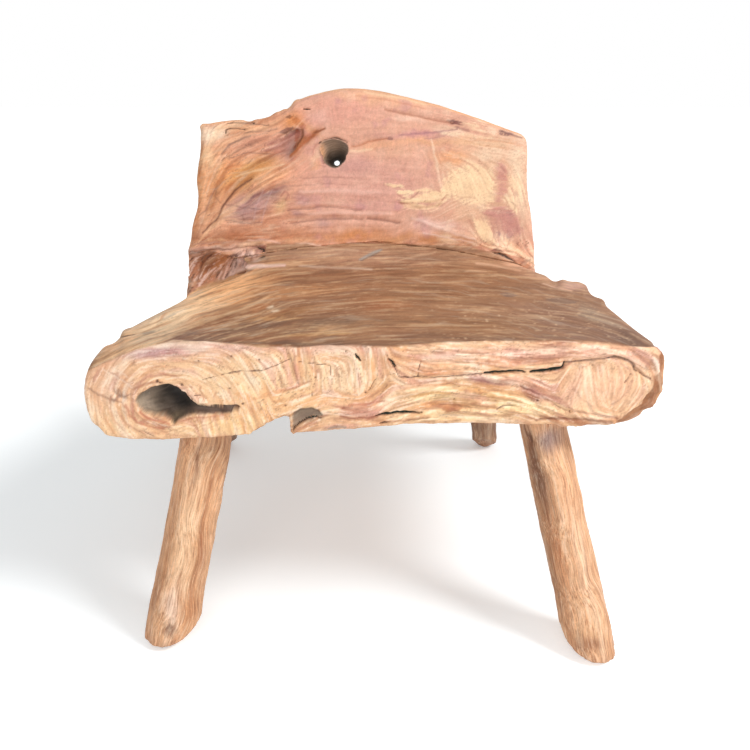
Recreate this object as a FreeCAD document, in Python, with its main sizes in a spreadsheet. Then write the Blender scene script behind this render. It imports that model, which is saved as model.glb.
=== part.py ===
# Rustic log bench: a live-edge slab seat, a leaning live-edge slab back and four splayed log legs.
# All sizes are in millimetres. X runs to the right of someone who faces the bench, Y runs from its
# front to its rear, and Z is up. The origin is on the floor, under the middle of the bench.
import FreeCAD, Part
import math
import os
import Sketcher
from FreeCAD import Placement, Rotation, Vector

# Driving sizes
SIZES = (
    ("seat_width", 762, "widest part of the seat, at its front face"),
    ("seat_depth", 501, "front face to the joint with the back"),
    ("seat_height", 445, "floor to the top of the front edge"),
    ("seat_thickness", 135, "at the deepest lobe of the front face"),
    ("seat_edge_round", 9, "rounding of the front edge"),
    ("seat_dish", 8, "hollow worn in the middle of the seat"),
    ("seat_lip", 42, "rise of the lip along the rear edge"),
    ("back_foot_width", 662, "width of the back at seat height"),
    ("back_crest_width", 586, "width of the back along its top"),
    ("back_rise", 316, "seat top to the highest point of the back"),
    ("back_drop", 118, "seat top down to the lower end of the back"),
    ("back_thickness", 88, "at the middle of the lower end"),
    ("back_lean_angle", 10.2, "degrees that the back leans to the rear"),
    ("back_edge_round", 14, "rounding of the two side edges of the back"),
    ("back_housing", 10, "depth that the seat is let into the back"),
    ("front_left_foot", 79, "diameter of the log at the floor"),
    ("front_left_top", 72, "diameter of the log in its housing"),
    ("front_right_foot", 70, "diameter of the log at the floor"),
    ("front_right_top", 66, "diameter of the log in its housing"),
    ("rear_left_foot", 54, "diameter of the log at the floor"),
    ("rear_left_top", 62, "diameter of the log in its housing"),
    ("rear_right_foot", 54, "diameter of the log at the floor"),
    ("rear_right_top", 62, "diameter of the log in its housing"),
    ("front_left_inset", 146, "end of the seat to the middle of the leg's socket"),
    ("front_right_inset", 146, "end of the seat to the middle of the leg's socket"),
    ("rear_left_inset", 136, "end of the seat to the middle of the leg's socket"),
    ("rear_right_inset", 176, "end of the seat to the middle of the leg's socket"),
    ("front_setback", 66, "front face to the middle of a front leg's socket"),
    ("rear_left_setback", 80, "joint with the back to the middle of the leg's socket"),
    ("rear_right_setback", 60, "joint with the back to the middle of the leg's socket"),
    ("housing_depth", 27, "depth of a leg's round housing along the leg"),
    ("front_tenon", 40, "diameter of the front tenons"),
    ("rear_tenon", 36, "diameter of the rear tenons"),
    ("tenon_length", 42, "shoulder to tip"),
    ("tenon_chamfer", 3, "lead at the tip of a tenon"),
    ("tip_clearance", 3, "space beyond the tip of a tenon or peg"),
    ("fit_clearance", 0.2, "space round a tenon, leg or peg in its hole"),
    ("wedge_length", 32, "length of a tenon wedge"),
    ("wedge_width", 30, "width of a tenon wedge"),
    ("wedge_butt", 7, "thickness of a tenon wedge at its thick end"),
    ("wedge_edge", 1, "thickness of a tenon wedge at its thin end"),
    ("foot_bevel_angle", 42, "degrees that the bevel round a foot rises"),
    ("peg_diameter", 28, "pegs that hold the back to the seat"),
    ("peg_length", 190, "whole length of a peg"),
    ("peg_stand", 4, "height of a peg's rear end above the back"),
    ("peg_chamfer", 3, "lead at each end of a peg"),
    ("peg_depth", 55, "seat top down to the axis of a peg"),
    ("hollow_inset", 104, "left end of the seat to the middle of the hollow"),
    ("hollow_width", 76, "hollow in the front face, across"),
    ("hollow_height", 46, "hollow in the front face, up"),
    ("hollow_depth", 48, "hollow in the front face, inwards"),
    ("slot_inset", 165, "left end of the seat to the middle of the slot"),
    ("slot_width", 84, "slot beside the hollow, across"),
    ("slot_height", 13, "slot beside the hollow, up"),
    ("slot_depth", 26, "slot beside the hollow, inwards"),
    ("rip_depth", 110, "rip in the underside, from the front face inwards"),
    ("knot_height", 46, "mouth of the knot hole, up"),
    ("knot_width", 56, "mouth of the knot hole, across"),
    ("knot_exit", 13, "diameter of the knot hole at the rear"),
    ("knot_fall", 20, "drop of the knot hole from front to rear"),
    ("pocket_inset", 156, "left end of the seat to the inner side of the weathered pocket"),
    ("pocket_width", 270, "weathered pocket at the rear left, across"),
    ("pocket_depth", 420, "weathered pocket in the seat, front to rear"),
    ("pocket_height", 100, "weathered pocket, up"),
    ("recess_depth", 90, "weathered pocket in the back, front to rear"),
    ("overrun", 60, "length that a cut runs past what it cuts"),
)

# Share of the seat's depth that lies in front of the origin
FRONT_SHARE = 0.549

# Share of the seat's thickness from its top to its underside over the legs
UNDERSIDE_SHARE = 0.852

# Middle of a section, as a share of its height or thickness
MIDDLE_SHARE = 0.5

# Outline of the seat as shares: place across, drop at the front face, drop further back, and lip
SEAT_OUTLINE_SHARES = (
    (-0.500, 0.500, 0.480, 0.00),
    (-0.493, 0.280, 0.200, 0.00),
    (-0.474, 0.130, 0.040, 0.00),
    (-0.442, 0.060, -0.010, 0.05),
    (-0.383, -0.030, 0.000, 0.20),
    (-0.273, -0.050, 0.000, 0.50),
    (-0.127, 0.004, 0.000, 0.86),
    (0.020, 0.016, 0.000, 1.02),
    (0.149, -0.060, 0.000, 0.92),
    (0.288, -0.060, 0.000, 0.62),
    (0.358, -0.050, 0.000, 0.35),
    (0.428, 0.004, 0.000, 0.12),
    (0.480, 0.000, 0.010, 0.02),
    (0.500, 0.110, 0.100, 0.00),
    (0.500, 0.330, 0.300, 0.00),
    (0.503, 0.560, 0.540, 0.00),
    (0.484, 0.680, 0.690, 0.00),
    (0.448, 0.820, 0.800, 0.00),
    (0.395, 0.860, 0.850, 0.00),
    (0.300, 0.845, 0.850, 0.00),
    (0.180, 0.812, 0.850, 0.00),
    (0.060, 0.820, 0.850, 0.00),
    (-0.051, 0.900, 0.850, 0.00),
    (-0.137, 0.940, 0.860, 0.00),
    (-0.214, 0.945, 0.860, 0.00),
    (-0.300, 1.010, 0.870, 0.00),
    (-0.415, 1.022, 0.860, 0.00),
    (-0.466, 1.000, 0.820, 0.00),
    (-0.493, 0.890, 0.740, 0.00),
    (-0.500, 0.690, 0.620, 0.00),
)

# Stations of the seat as shares: place along the depth, left side, right side, change from the front
# face's outline to the one further back, dish, and lip
SEAT_STATION_SHARES = (
    (0.000, -0.509, 0.500, 0.00, 0.0, 0.00),
    (0.030, -0.510, 0.504, 0.20, 0.0, 0.00),
    (0.100, -0.507, 0.504, 0.80, 0.3, 0.00),
    (0.210, -0.490, 0.494, 1.00, 0.8, 0.00),
    (0.350, -0.464, 0.490, 1.00, 1.0, 0.00),
    (0.480, -0.437, 0.486, 1.00, 1.0, 0.00),
    (0.580, -0.428, 0.488, 1.00, 0.8, 0.00),
    (0.660, -0.426, 0.496, 1.00, 0.6, 0.00),
    (0.730, -0.430, 0.492, 1.00, 0.4, 0.01),
    (0.790, -0.438, 0.436, 1.00, 0.3, 0.04),
    (0.850, -0.446, 0.408, 1.00, 0.2, 0.10),
    (0.930, -0.457, 0.388, 1.00, 0.0, 0.38),
    (1.000, -0.467, 0.376, 1.00, 0.0, 1.00),
)

# Section of the back as shares: place up the slab and place through its thickness
BACK_OUTLINE_SHARES = (
    (0.03, 0.00),
    (0.20, 0.00),
    (0.40, 0.00),
    (0.60, 0.00),
    (0.80, 0.00),
    (0.94, 0.01),
    (0.985, 0.12),
    (1.00, 0.42),
    (0.985, 0.80),
    (0.94, 0.97),
    (0.80, 1.00),
    (0.60, 1.00),
    (0.40, 1.00),
    (0.20, 1.00),
    (0.05, 0.98),
    (0.00, 0.80),
    (0.00, 0.20),
)

# Stations of the back as shares: place across, height of the crest, and thickness
BACK_STATION_SHARES = (
    (0.000, 0.790, 0.55),
    (0.030, 0.800, 0.62),
    (0.090, 0.824, 0.75),
    (0.160, 0.817, 0.84),
    (0.210, 0.832, 0.90),
    (0.255, 0.885, 0.94),
    (0.300, 0.940, 0.98),
    (0.380, 0.980, 1.00),
    (0.460, 1.000, 1.00),
    (0.550, 0.980, 1.00),
    (0.660, 0.935, 0.97),
    (0.780, 0.875, 0.90),
    (0.880, 0.810, 0.80),
    (0.970, 0.750, 0.66),
    (1.000, 0.730, 0.56),
)

# Left side of the back at seat height and at its crest, as shares of those two widths
BACK_FOOT_LEFT_SHARE = -0.538
BACK_CREST_LEFT_SHARE = -0.534

# Share of the back's thickness that is gone at its crest
BACK_TAPER_SHARE = 0.38

# Most of the back's thickness that the rounding of a side edge takes on each face
BACK_ROUND_SHARE = 0.45

# Splay of each leg from its socket down to its foot, as shares of the seat's height over the floor:
# across and along
LEG_SPLAY_SHARES = {
    "front_left": (-0.201, -0.262),
    "front_right": (0.231, -0.362),
    "rear_left": (-0.304, 0.569),
    "rear_right": (0.125, 0.510),
}

# Flat under a foot and its shift away from the middle of the bench, as shares of the log's diameter
FOOT_FLAT_SHARE = 0.25
FOOT_SHIFT_SHARE = 0.12

# Places of the pegs, as shares of the way from the rear left leg's socket to the rear right one's
PEG_ACROSS_SHARES = (0.177, 0.411, 0.644, 0.866)

# Outline of the rip in the underside: shares of the seat's width and thickness
RIP_SHARES = (
    (-0.226, 0.980),
    (-0.217, 0.900),
    (-0.200, 0.847),
    (-0.178, 0.770),
    (-0.163, 0.737),
    (-0.150, 0.700),
)

# Places of the natural hollows, as shares of the seat's width, depth and thickness, or of the back's
# rise, and the turns of two of them in degrees
HOLLOW_DROP_SHARE = 0.541
HOLLOW_TURN = -14
SLOT_DROP_SHARE = 0.640
SLOT_TURN = 6
POCKET_ALONG_SHARE = 0.400
POCKET_DROP_SHARE = 0.148
KNOT_ACROSS_SHARE = -0.0962
KNOT_RISE_SHARE = 0.617

doc = FreeCAD.newDocument("LogBench")
sheet = doc.addObject("Spreadsheet::Sheet", "Sizes")
for row, (alias, value, note) in enumerate(SIZES, start=1):
    sheet.set(f"A{row}", str(value))
    sheet.setAlias(f"A{row}", alias)
    sheet.set(f"B{row}", note)
doc.recompute()


def size(text):
    """Value of a size, or of a formula of sizes."""
    return float(sheet.evalExpression(text))


def cell(alias):
    """A size as it is named in another object's formula."""
    return f"Sizes.{alias}"


def bind(thing, **formulas):
    """Ties properties of a document object to the sheet."""
    for name, formula in formulas.items():
        thing.setExpression(name, formula)
    return thing


# Places that several pieces share
SEAT_WIDTH = size("seat_width")
SEAT_DEPTH = size("seat_depth")
SEAT_TOP = size("seat_height")
THICKNESS = size("seat_thickness")
FRONT = -SEAT_DEPTH * FRONT_SHARE
JOINT = FRONT + SEAT_DEPTH
LEFT = -SEAT_WIDTH / 2
UNDERSIDE = SEAT_TOP - THICKNESS * UNDERSIDE_SHARE
BACK_SLOPE = math.tan(math.radians(size("back_lean_angle")))
DEGREE = 3
UNDERSIDE_FORMULA = f"(Sizes.seat_height - Sizes.seat_thickness * {UNDERSIDE_SHARE})"


def clamped(count):
    """Knots and their counts for an open cubic curve."""
    knots = [float(index) for index in range(count - DEGREE + 1)]
    return knots, [DEGREE + 1] + [1] * (len(knots) - 2) + [DEGREE + 1]


def skin(name, sections):
    """Closed solid under a smooth skin that is drawn to flat closed sections of control points."""
    around = len(sections[0])
    knots, counts = clamped(len(sections))
    surface = Part.BSplineSurface()
    surface.buildFromPolesMultsKnots(
        sections,
        counts,
        [1] * (around + 1),
        knots,
        [float(index) for index in range(around + 1)],
        False,
        True,
        DEGREE,
        DEGREE,
    )
    ends = [Part.Face(Part.Wire(surface.uIso(knot).toShape())) for knot in (knots[0], knots[-1])]
    shell = Part.Shell([surface.toShape(), *ends])
    shell.sewShape()
    solid = Part.Solid(shell)
    if solid.Volume < 0:
        solid.reverse()
    thing = doc.addObject("Part::Feature", name)
    thing.Shape = solid
    return thing


def fuse(name, tools):
    """One cutter made of several."""
    thing = doc.addObject("Part::MultiFuse", name)
    thing.Shapes = tools
    return thing


def cut(name, base, *tools):
    """Base with the tools taken away one after another."""
    for tool in tools:
        thing = doc.addObject("Part::Cut", f"{name}_less_{tool.Name}")
        thing.Base = base
        thing.Tool = tool
        base = thing
    base.Label = name
    return base


def cylinder(name, radius, height, place):
    """Round cutter whose radius and height are formulas."""
    thing = doc.addObject("Part::Cylinder", name)
    bind(thing, Radius=radius, Height=height)
    thing.Placement = place
    return thing


def ellipsoid(name, across, along, upright, place):
    """Hollow with the three whole lengths given as sizes."""
    thing = doc.addObject("Part::Ellipsoid", name)
    thing.Angle1 = -90
    thing.Angle2 = 90
    bind(thing, Radius1=f"Sizes.{upright} / 2", Radius2=f"Sizes.{across} / 2", Radius3=f"Sizes.{along} / 2")
    thing.Placement = place
    return thing


def profile_sketch(body, name, corners):
    """Closed half profile in a body's XZ plane, with every corner tied to the sheet."""
    sketch = body.newObject("Sketcher::SketchObject", name)
    plane = next(item for item in body.Origin.OriginFeatures if item.Role == "XZ_Plane")
    sketch.AttachmentSupport = [(plane, "")]
    sketch.MapMode = "FlatFace"
    points = [Vector(size(x), size(y), 0) for x, y in corners]
    count = len(points)
    for index, start in enumerate(points):
        sketch.addGeometry(Part.LineSegment(start, points[(index + 1) % count]), False)
    for index in range(count):
        sketch.addConstraint(Sketcher.Constraint("Coincident", index, 2, (index + 1) % count, 1))
    for index, (x, y) in enumerate(corners):
        for formula, kind, axis in ((x, "DistanceX", -2), (y, "DistanceY", -1)):
            if formula == "0":
                sketch.addConstraint(Sketcher.Constraint("PointOnObject", index, 1, axis))
                continue
            rule = sketch.addConstraint(Sketcher.Constraint(kind, -1, 1, index, 1, size(formula)))
            sketch.setExpression(f"Constraints[{rule}]", formula)
    return sketch


def turned_body(name, corners):
    """Round piece turned about its own Z axis from a half profile."""
    body = doc.addObject("PartDesign::Body", name)
    sketch = profile_sketch(body, f"{name}_profile", corners)
    turned = body.newObject("PartDesign::Revolution", f"{name}_turned")
    turned.Profile = sketch
    turned.ReferenceAxis = (sketch, ["V_Axis"])
    turned.Angle = 360
    body.Tip = turned
    return body


# Seat


def seat_section(along, left, right, change, dish, lip, inset):
    """One outline of the seat, across its depth."""
    middle = SEAT_WIDTH * (left + right) / 2
    width = SEAT_WIDTH * (right - left)
    narrow = 1 - 2 * inset / width
    thin = 1 - 2 * inset / THICKNESS
    points = []
    for across, front_drop, rear_drop, lip_share in SEAT_OUTLINE_SHARES:
        drop = front_drop + (rear_drop - front_drop) * change
        drop = MIDDLE_SHARE + (drop - MIDDLE_SHARE) * thin
        height = SEAT_TOP - THICKNESS * drop + size("seat_lip") * lip * lip_share
        if drop < MIDDLE_SHARE:
            height -= size("seat_dish") * dish * (1 - 4 * across * across)
        points.append(Vector(middle + width * across * narrow, FRONT + SEAT_DEPTH * along, height))
    return points


def seat_blank():
    """The whole slab before anything is cut in it."""
    first = SEAT_STATION_SHARES[0]
    sections = [seat_section(*first, inset) for inset in (size("seat_edge_round"), 0)]
    sections += [seat_section(*station, 0) for station in SEAT_STATION_SHARES[1:]]
    return skin("seat_blank", sections)


def front_hollows():
    """The natural hollow and slot in the front face."""
    hollow = Placement(
        Vector(LEFT + size("hollow_inset"), FRONT, SEAT_TOP - THICKNESS * HOLLOW_DROP_SHARE),
        Rotation(Vector(0, 1, 0), HOLLOW_TURN),
    )
    slot = Placement(
        Vector(LEFT + size("slot_inset"), FRONT, SEAT_TOP - THICKNESS * SLOT_DROP_SHARE),
        Rotation(Vector(0, 1, 0), SLOT_TURN),
    )
    return [
        ellipsoid("front_hollow", "hollow_width", "hollow_depth * 2", "hollow_height", hollow),
        ellipsoid("front_slot", "slot_width", "slot_depth * 2", "slot_height", slot),
    ]


def underside_rip():
    """The torn step in the lower edge of the front face."""
    corners = [(RIP_SHARES[-1][0], 1), *RIP_SHARES[::-1], (RIP_SHARES[0][0], 1)]
    start = FRONT - size("overrun")
    points = []
    for index, (across, drop) in enumerate(corners):
        height = SEAT_TOP - THICKNESS * drop
        if index in (0, len(corners) - 1):
            height -= size("overrun")
        points.append(Vector(SEAT_WIDTH * across, start, height))
    face = Part.Face(Part.makePolygon(points + points[:1]))
    thing = doc.addObject("Part::Feature", "underside_rip")
    thing.Shape = face.extrude(Vector(0, size("overrun") + size("rip_depth"), 0))
    return thing


def pocket(name, depth):
    """The weathered pocket where the seat meets the back on the left."""
    centre = Vector(
        LEFT + size("pocket_inset - pocket_width / 2"),
        SEAT_DEPTH * POCKET_ALONG_SHARE,
        SEAT_TOP - THICKNESS * POCKET_DROP_SHARE,
    )
    return ellipsoid(name, "pocket_width", depth, "pocket_height", Placement(centre, Rotation()))


# Legs


class Leg:
    """Places and formulas of one leg, from its foot to the tip of its tenon."""

    def __init__(self, name):
        across_share, along_share = LEG_SPLAY_SHARES[name]
        self.name = name
        self.tenon = cell("front_tenon" if name.startswith("front") else "rear_tenon")
        self.foot_size = cell(f"{name}_foot")
        self.top_size = cell(f"{name}_top")
        splay = Vector(across_share, along_share, -1)
        self.foot = self.socket(name) + splay * UNDERSIDE
        self.axis = -splay.normalize()
        self.turn = Rotation(Vector(0, 0, 1), self.axis)
        self.reach = f"({UNDERSIDE_FORMULA} * sqrt(1 + ({across_share})^2 + ({along_share})^2))"
        self.shoulder = f"({self.reach} + Sizes.housing_depth)"
        self.tip = f"({self.shoulder} + Sizes.tenon_length)"

    @staticmethod
    def socket(name):
        """Middle of the leg's socket, on the underside of the seat."""
        side = 1 if name.endswith("left") else -1
        across = LEFT + size(f"{name}_inset")
        if name.startswith("front"):
            return Vector(across * side, FRONT + size("front_setback"), UNDERSIDE)
        return Vector(across * side, JOINT - size(f"{name}_setback"), UNDERSIDE)

    def place(self, formula, turn=Rotation()):
        """Place on the leg's axis at a distance from its foot."""
        return Placement(self.foot + self.axis * size(formula), self.turn * turn)

    def log(self):
        """The round log with its tenon, before its foot and kerf are cut."""
        lead = cell("tenon_chamfer")
        corners = (
            ("0", "-Sizes.overrun"),
            (f"{self.foot_size} / 2", "-Sizes.overrun"),
            (f"{self.foot_size} / 2", "0"),
            (f"{self.top_size} / 2", f"{self.shoulder} - Sizes.housing_depth * 2"),
            (f"{self.top_size} / 2", self.shoulder),
            (f"{self.tenon} / 2", self.shoulder),
            (f"{self.tenon} / 2", f"{self.tip} - {lead}"),
            (f"{self.tenon} / 2 - {lead}", self.tip),
            ("0", self.tip),
        )
        body = turned_body(f"log_{self.name}", corners)
        body.Placement = Placement(self.foot, self.turn)
        return body

    def wedge(self, name, half_width):
        """Wedge in the tip of the tenon, with its thick end against the bottom of the mortise."""
        thing = doc.addObject("Part::Wedge", name)
        bind(
            thing,
            Xmin="-Sizes.wedge_edge / 2",
            Xmax="Sizes.wedge_edge / 2",
            Ymin="0",
            Ymax=cell("wedge_length"),
            Zmin=f"-{half_width}",
            Zmax=half_width,
            X2min="-Sizes.wedge_butt / 2",
            X2max="Sizes.wedge_butt / 2",
            Z2min=f"-{half_width}",
            Z2max=half_width,
        )
        start = f"{self.tip} + Sizes.tip_clearance - Sizes.wedge_length"
        thing.Placement = self.place(start, Rotation(Vector(1, 0, 0), 90))
        return thing

    def foot_block(self):
        """Everything below the floor and outside the bevel round this foot."""
        side = f"({self.foot_size} * 4)"
        block = doc.addObject("Part::Box", f"foot_block_{self.name}")
        bind(block, Length=side, Width=side, Height=f"Sizes.overrun * 2 + {self.foot_size}")
        half = size(side) / 2
        block.Placement = Placement(self.foot - Vector(half, half, size("overrun") * 2), Rotation())
        core = doc.addObject("Part::Cone", f"foot_core_{self.name}")
        flat = f"{self.foot_size} * {FOOT_FLAT_SHARE}"
        bind(
            core,
            Height=self.foot_size,
            Radius1=flat,
            Radius2=f"{flat} + {self.foot_size} / tan(Sizes.foot_bevel_angle)",
        )
        outward = Vector(-self.axis.x, -self.axis.y, 0).normalize()
        core.Placement = Placement(self.foot + outward * size(self.foot_size) * FOOT_SHIFT_SHARE, Rotation())
        return cut(f"foot_cutter_{self.name}", block, core)

    def housing(self):
        """The round housing and the mortise that the seat gets for this leg."""
        sink = "Sizes.housing_depth + Sizes.overrun"
        wide = cylinder(
            f"housing_{self.name}",
            f"{self.top_size} / 2 + Sizes.fit_clearance",
            sink,
            self.place(f"{self.shoulder} - ({sink})"),
        )
        deep = cylinder(
            f"mortise_{self.name}",
            f"{self.tenon} / 2 + Sizes.fit_clearance",
            "Sizes.housing_depth + Sizes.tenon_length + Sizes.tip_clearance",
            self.place(self.reach),
        )
        return [wide, deep]

    def build(self):
        """The finished leg and its wedge."""
        kerf = self.wedge(f"kerf_{self.name}", f"({self.tenon} / 2 + Sizes.overrun)")
        leg = cut(f"leg_{self.name}", self.log(), self.foot_block(), kerf)
        wedge = self.wedge(f"tenon_wedge_{self.name}", "Sizes.wedge_width / 2")
        return [leg, wedge]


# Back


def back_crest(across):
    """Height of the crest and thickness of the back at a place across it, as shares."""
    rows = BACK_STATION_SHARES
    place = min(max(across, rows[0][0]), rows[-1][0])
    for low, high in zip(rows, rows[1:]):
        if place <= high[0]:
            mix = (place - low[0]) / (high[0] - low[0])
            return low[1] + (high[1] - low[1]) * mix, low[2] + (high[2] - low[2]) * mix
    return rows[-1][1:]


def back_front(height):
    """Y of the back's front face at a height."""
    return JOINT - size("back_housing") + (height - SEAT_TOP) * BACK_SLOPE


def back_depth(thickness_share, height):
    """Thickness of the back at a height."""
    bottom = SEAT_TOP - size("back_drop")
    climb = (height - bottom) / (size("back_rise") + size("back_drop"))
    return size("back_thickness") * thickness_share * (1 - BACK_TAPER_SHARE * climb)


def back_across(across, height):
    """X of a place across the back, given as a share of its width, at a height."""
    foot = size("back_foot_width") * (BACK_FOOT_LEFT_SHARE + across)
    crest = size("back_crest_width") * (BACK_CREST_LEFT_SHARE + across)
    return foot + (crest - foot) * (height - SEAT_TOP) / size("back_rise")


def back_section(across, crest, thickness, inset):
    """One outline of the back, on a line from its lower end to its crest."""
    bottom = SEAT_TOP - size("back_drop") + inset
    tall = SEAT_TOP + size("back_rise") * crest - inset - bottom
    points = []
    for up, through in BACK_OUTLINE_SHARES:
        height = bottom + tall * up
        depth = back_depth(thickness, height)
        thin = 1 - 2 * min(inset / depth, BACK_ROUND_SHARE)
        y = back_front(height) + depth * (MIDDLE_SHARE + (through - MIDDLE_SHARE) * thin)
        points.append(Vector(back_across(across, height), y, height))
    return points


def back_blank():
    """The whole back before anything is cut in it."""
    inset = size("back_edge_round")
    sections = [back_section(*BACK_STATION_SHARES[0], inset)]
    sections += [back_section(*station, 0) for station in BACK_STATION_SHARES]
    sections.append(back_section(*BACK_STATION_SHARES[-1], inset))
    return skin("back_blank", sections)


def knot_hole():
    """The knot hole, which narrows and falls as it runs through the back."""
    height = SEAT_TOP + size("back_rise") * KNOT_RISE_SHARE
    depth = back_depth(1, height)
    overrun = size("overrun")
    fall = size("knot_fall") / depth
    x = SEAT_WIDTH * KNOT_ACROSS_SHARE
    upright = Rotation(Vector(1, 0, 0), Vector(0, 0, -1), Vector(0, 1, 0), "XZY")
    mouth = {"MajorRadius": "Sizes.knot_width / 2", "MinorRadius": "Sizes.knot_height / 2"}
    neck = {"Radius": "Sizes.knot_exit / 2"}
    rings = []
    for name, kind, formulas, through in (
        ("knot_start", "Part::Ellipse", mouth, -overrun),
        ("knot_mouth", "Part::Ellipse", mouth, 0),
        ("knot_neck", "Part::Circle", neck, depth),
        ("knot_end", "Part::Circle", neck, depth + overrun),
    ):
        ring = bind(doc.addObject(kind, name), **formulas)
        sink = fall * min(max(through, 0), depth)
        ring.Placement = Placement(Vector(x, back_front(height) + through, height - sink), upright)
        rings.append(ring)
    hole = doc.addObject("Part::Loft", "knot_hole")
    hole.Sections = rings
    hole.Solid = True
    hole.Ruled = True
    return hole


# Pegs


class Peg:
    """One peg through the back into the rear edge of the seat."""

    def __init__(self, number, across_share):
        self.number = number
        height = SEAT_TOP - size("peg_depth")
        left, right = Leg.socket("rear_left").x, Leg.socket("rear_right").x
        x = left + (right - left) * across_share
        across = (x / size("back_foot_width")) - BACK_FOOT_LEFT_SHARE
        rear = back_front(height) + back_depth(back_crest(across)[1], height) + size("peg_stand")
        self.tail = Vector(x, rear, height)
        self.turn = Rotation(Vector(0, 0, 1), Vector(0, -1, 0))

    def build(self):
        """The peg, turned with a lead at both ends."""
        radius, lead, length = "Sizes.peg_diameter / 2", cell("peg_chamfer"), cell("peg_length")
        corners = (
            ("0", "0"),
            (f"{radius} - {lead}", "0"),
            (radius, lead),
            (radius, f"{length} - {lead}"),
            (f"{radius} - {lead}", length),
            ("0", length),
        )
        body = turned_body(f"back_peg_{self.number}", corners)
        body.Placement = Placement(self.tail, self.turn)
        return body

    def hole(self):
        """The hole for the peg, which runs out of the back's rear face."""
        start = self.tail + Vector(0, size("overrun"), 0)
        return cylinder(
            f"peg_hole_{self.number}",
            "Sizes.peg_diameter / 2 + Sizes.fit_clearance",
            "Sizes.overrun + Sizes.peg_length + Sizes.tip_clearance",
            Placement(start, self.turn),
        )


# Assembly

legs = [Leg(name) for name in LEG_SPLAY_SHARES]
pegs = [Peg(number, share) for number, share in enumerate(PEG_ACROSS_SHARES, start=1)]

slab = seat_blank()
peg_holes = fuse("peg_holes", [peg.hole() for peg in pegs])
seat_cutters = [*front_hollows(), underside_rip(), pocket("seat_pocket", "pocket_depth"), peg_holes]
for leg in legs:
    seat_cutters += leg.housing()
seat = cut("seat_slab", slab, *seat_cutters)

back_recess = pocket("back_recess", "recess_depth")
back = cut("back_slab", back_blank(), slab, peg_holes, knot_hole(), back_recess)

pieces = [seat, back]
for leg in legs:
    pieces += leg.build()
pieces += [peg.build() for peg in pegs]
doc.recompute()

# Tests and export

for thing in doc.Objects:
    if "Invalid" in thing.State or "Error" in thing.State:
        raise RuntimeError(f"{thing.Name} failed: {thing.State}")
for piece in pieces:
    if piece.Shape.isNull() or not piece.Shape.isValid():
        raise RuntimeError(f"{piece.Label} has no valid shape")
    if len(piece.Shape.Solids) != 1:
        raise RuntimeError(f"{piece.Label} has {len(piece.Shape.Solids)} solids")

os.makedirs("parts", exist_ok=True)
for piece in pieces:
    piece.Shape.exportStep(f"parts/{piece.Label}.step")
    box = piece.Shape.BoundBox
    print(f"{piece.Label}: volume {piece.Shape.Volume / 1000:.0f} cm3, x {box.XMin:.0f} to {box.XMax:.0f},"
          f" y {box.YMin:.0f} to {box.YMax:.0f}, z {box.ZMin:.1f} to {box.ZMax:.0f}")
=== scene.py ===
"""Looks of the rustic log bench: two weathered slabs of root wood on four peeled log legs."""

import math
from itertools import product

import bmesh
import bpy
import numpy as np
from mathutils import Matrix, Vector
from mathutils.bvhtree import BVHTree


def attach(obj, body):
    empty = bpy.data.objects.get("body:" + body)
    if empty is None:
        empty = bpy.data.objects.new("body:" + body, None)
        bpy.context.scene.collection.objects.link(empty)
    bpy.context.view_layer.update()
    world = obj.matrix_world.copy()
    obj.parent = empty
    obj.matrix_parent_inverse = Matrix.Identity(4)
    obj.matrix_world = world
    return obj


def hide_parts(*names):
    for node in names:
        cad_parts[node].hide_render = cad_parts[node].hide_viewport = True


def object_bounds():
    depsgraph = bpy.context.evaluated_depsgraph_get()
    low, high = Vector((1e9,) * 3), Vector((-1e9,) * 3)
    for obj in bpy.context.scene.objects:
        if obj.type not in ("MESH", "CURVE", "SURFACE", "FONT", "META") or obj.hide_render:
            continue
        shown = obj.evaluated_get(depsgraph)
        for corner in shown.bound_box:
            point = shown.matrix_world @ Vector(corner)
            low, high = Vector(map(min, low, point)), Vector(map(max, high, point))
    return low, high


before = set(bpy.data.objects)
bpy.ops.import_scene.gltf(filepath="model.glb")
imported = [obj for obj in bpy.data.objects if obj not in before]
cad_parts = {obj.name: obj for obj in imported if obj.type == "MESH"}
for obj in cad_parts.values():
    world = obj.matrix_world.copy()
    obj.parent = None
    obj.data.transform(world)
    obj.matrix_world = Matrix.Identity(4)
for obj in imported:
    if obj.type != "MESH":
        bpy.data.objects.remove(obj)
cad_low, cad_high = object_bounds()

# Camera of the photograph: a square frame whose focal length is its own width
FRAME_PX = 750
FOCAL_PX = 750
CENTRE_PX = FRAME_PX / 2
CAMERA_TILT = math.radians(21)
CAMERA_Y = -1.194
CAMERA_HEIGHT = 0.7585

# Front face of the back: its place at seat height and its lean
SEAT_TOP = 0.445
BACK_FRONT = 0.206
BACK_LEAN = 0.18

# Spacing of the nets before they are split finer, and the gap under which points of a solid are one
SEAT_VOXEL = 0.0063
BACK_VOXEL = 0.0040
LEG_VOXEL = 0.0028
WELD_GAP = 1e-5

# Photograph pixels to one unit of the grain's flow, and to one cell of a painted edge's jitter
FLOW_PX = 130
JITTER_CELL = 3.2

# Heights from which the seat's front, and its top and the back, show in the photograph
FRONT_FROM = 0.31
TOP_FROM = 0.41

# Light of the surroundings, and the white glow that the camera sees on the floor near the bench
WHITE = (1.0, 1.0, 1.0, 1.0)
WORLD_LIGHT = 0.5
FLOOR_GLOW = 0.235

# Colours of the wood as they show in soft light, and a near-black green painted as shade in its cracks
COLOURS = {
    "cream": "#F4CFA8",
    "ivory": "#F6DCC0",
    "peach": "#ECBE96",
    "apricot": "#E6AC80",
    "plum": "#8E6A66",
    "tan": "#C78F66",
    "umber": "#6E4A38",
    "walnut": "#9A6B4A",
    "bark": "#8A6048",
    "clay": "#B6805F",
    "crack_shade": "#2A332C",
}


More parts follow.
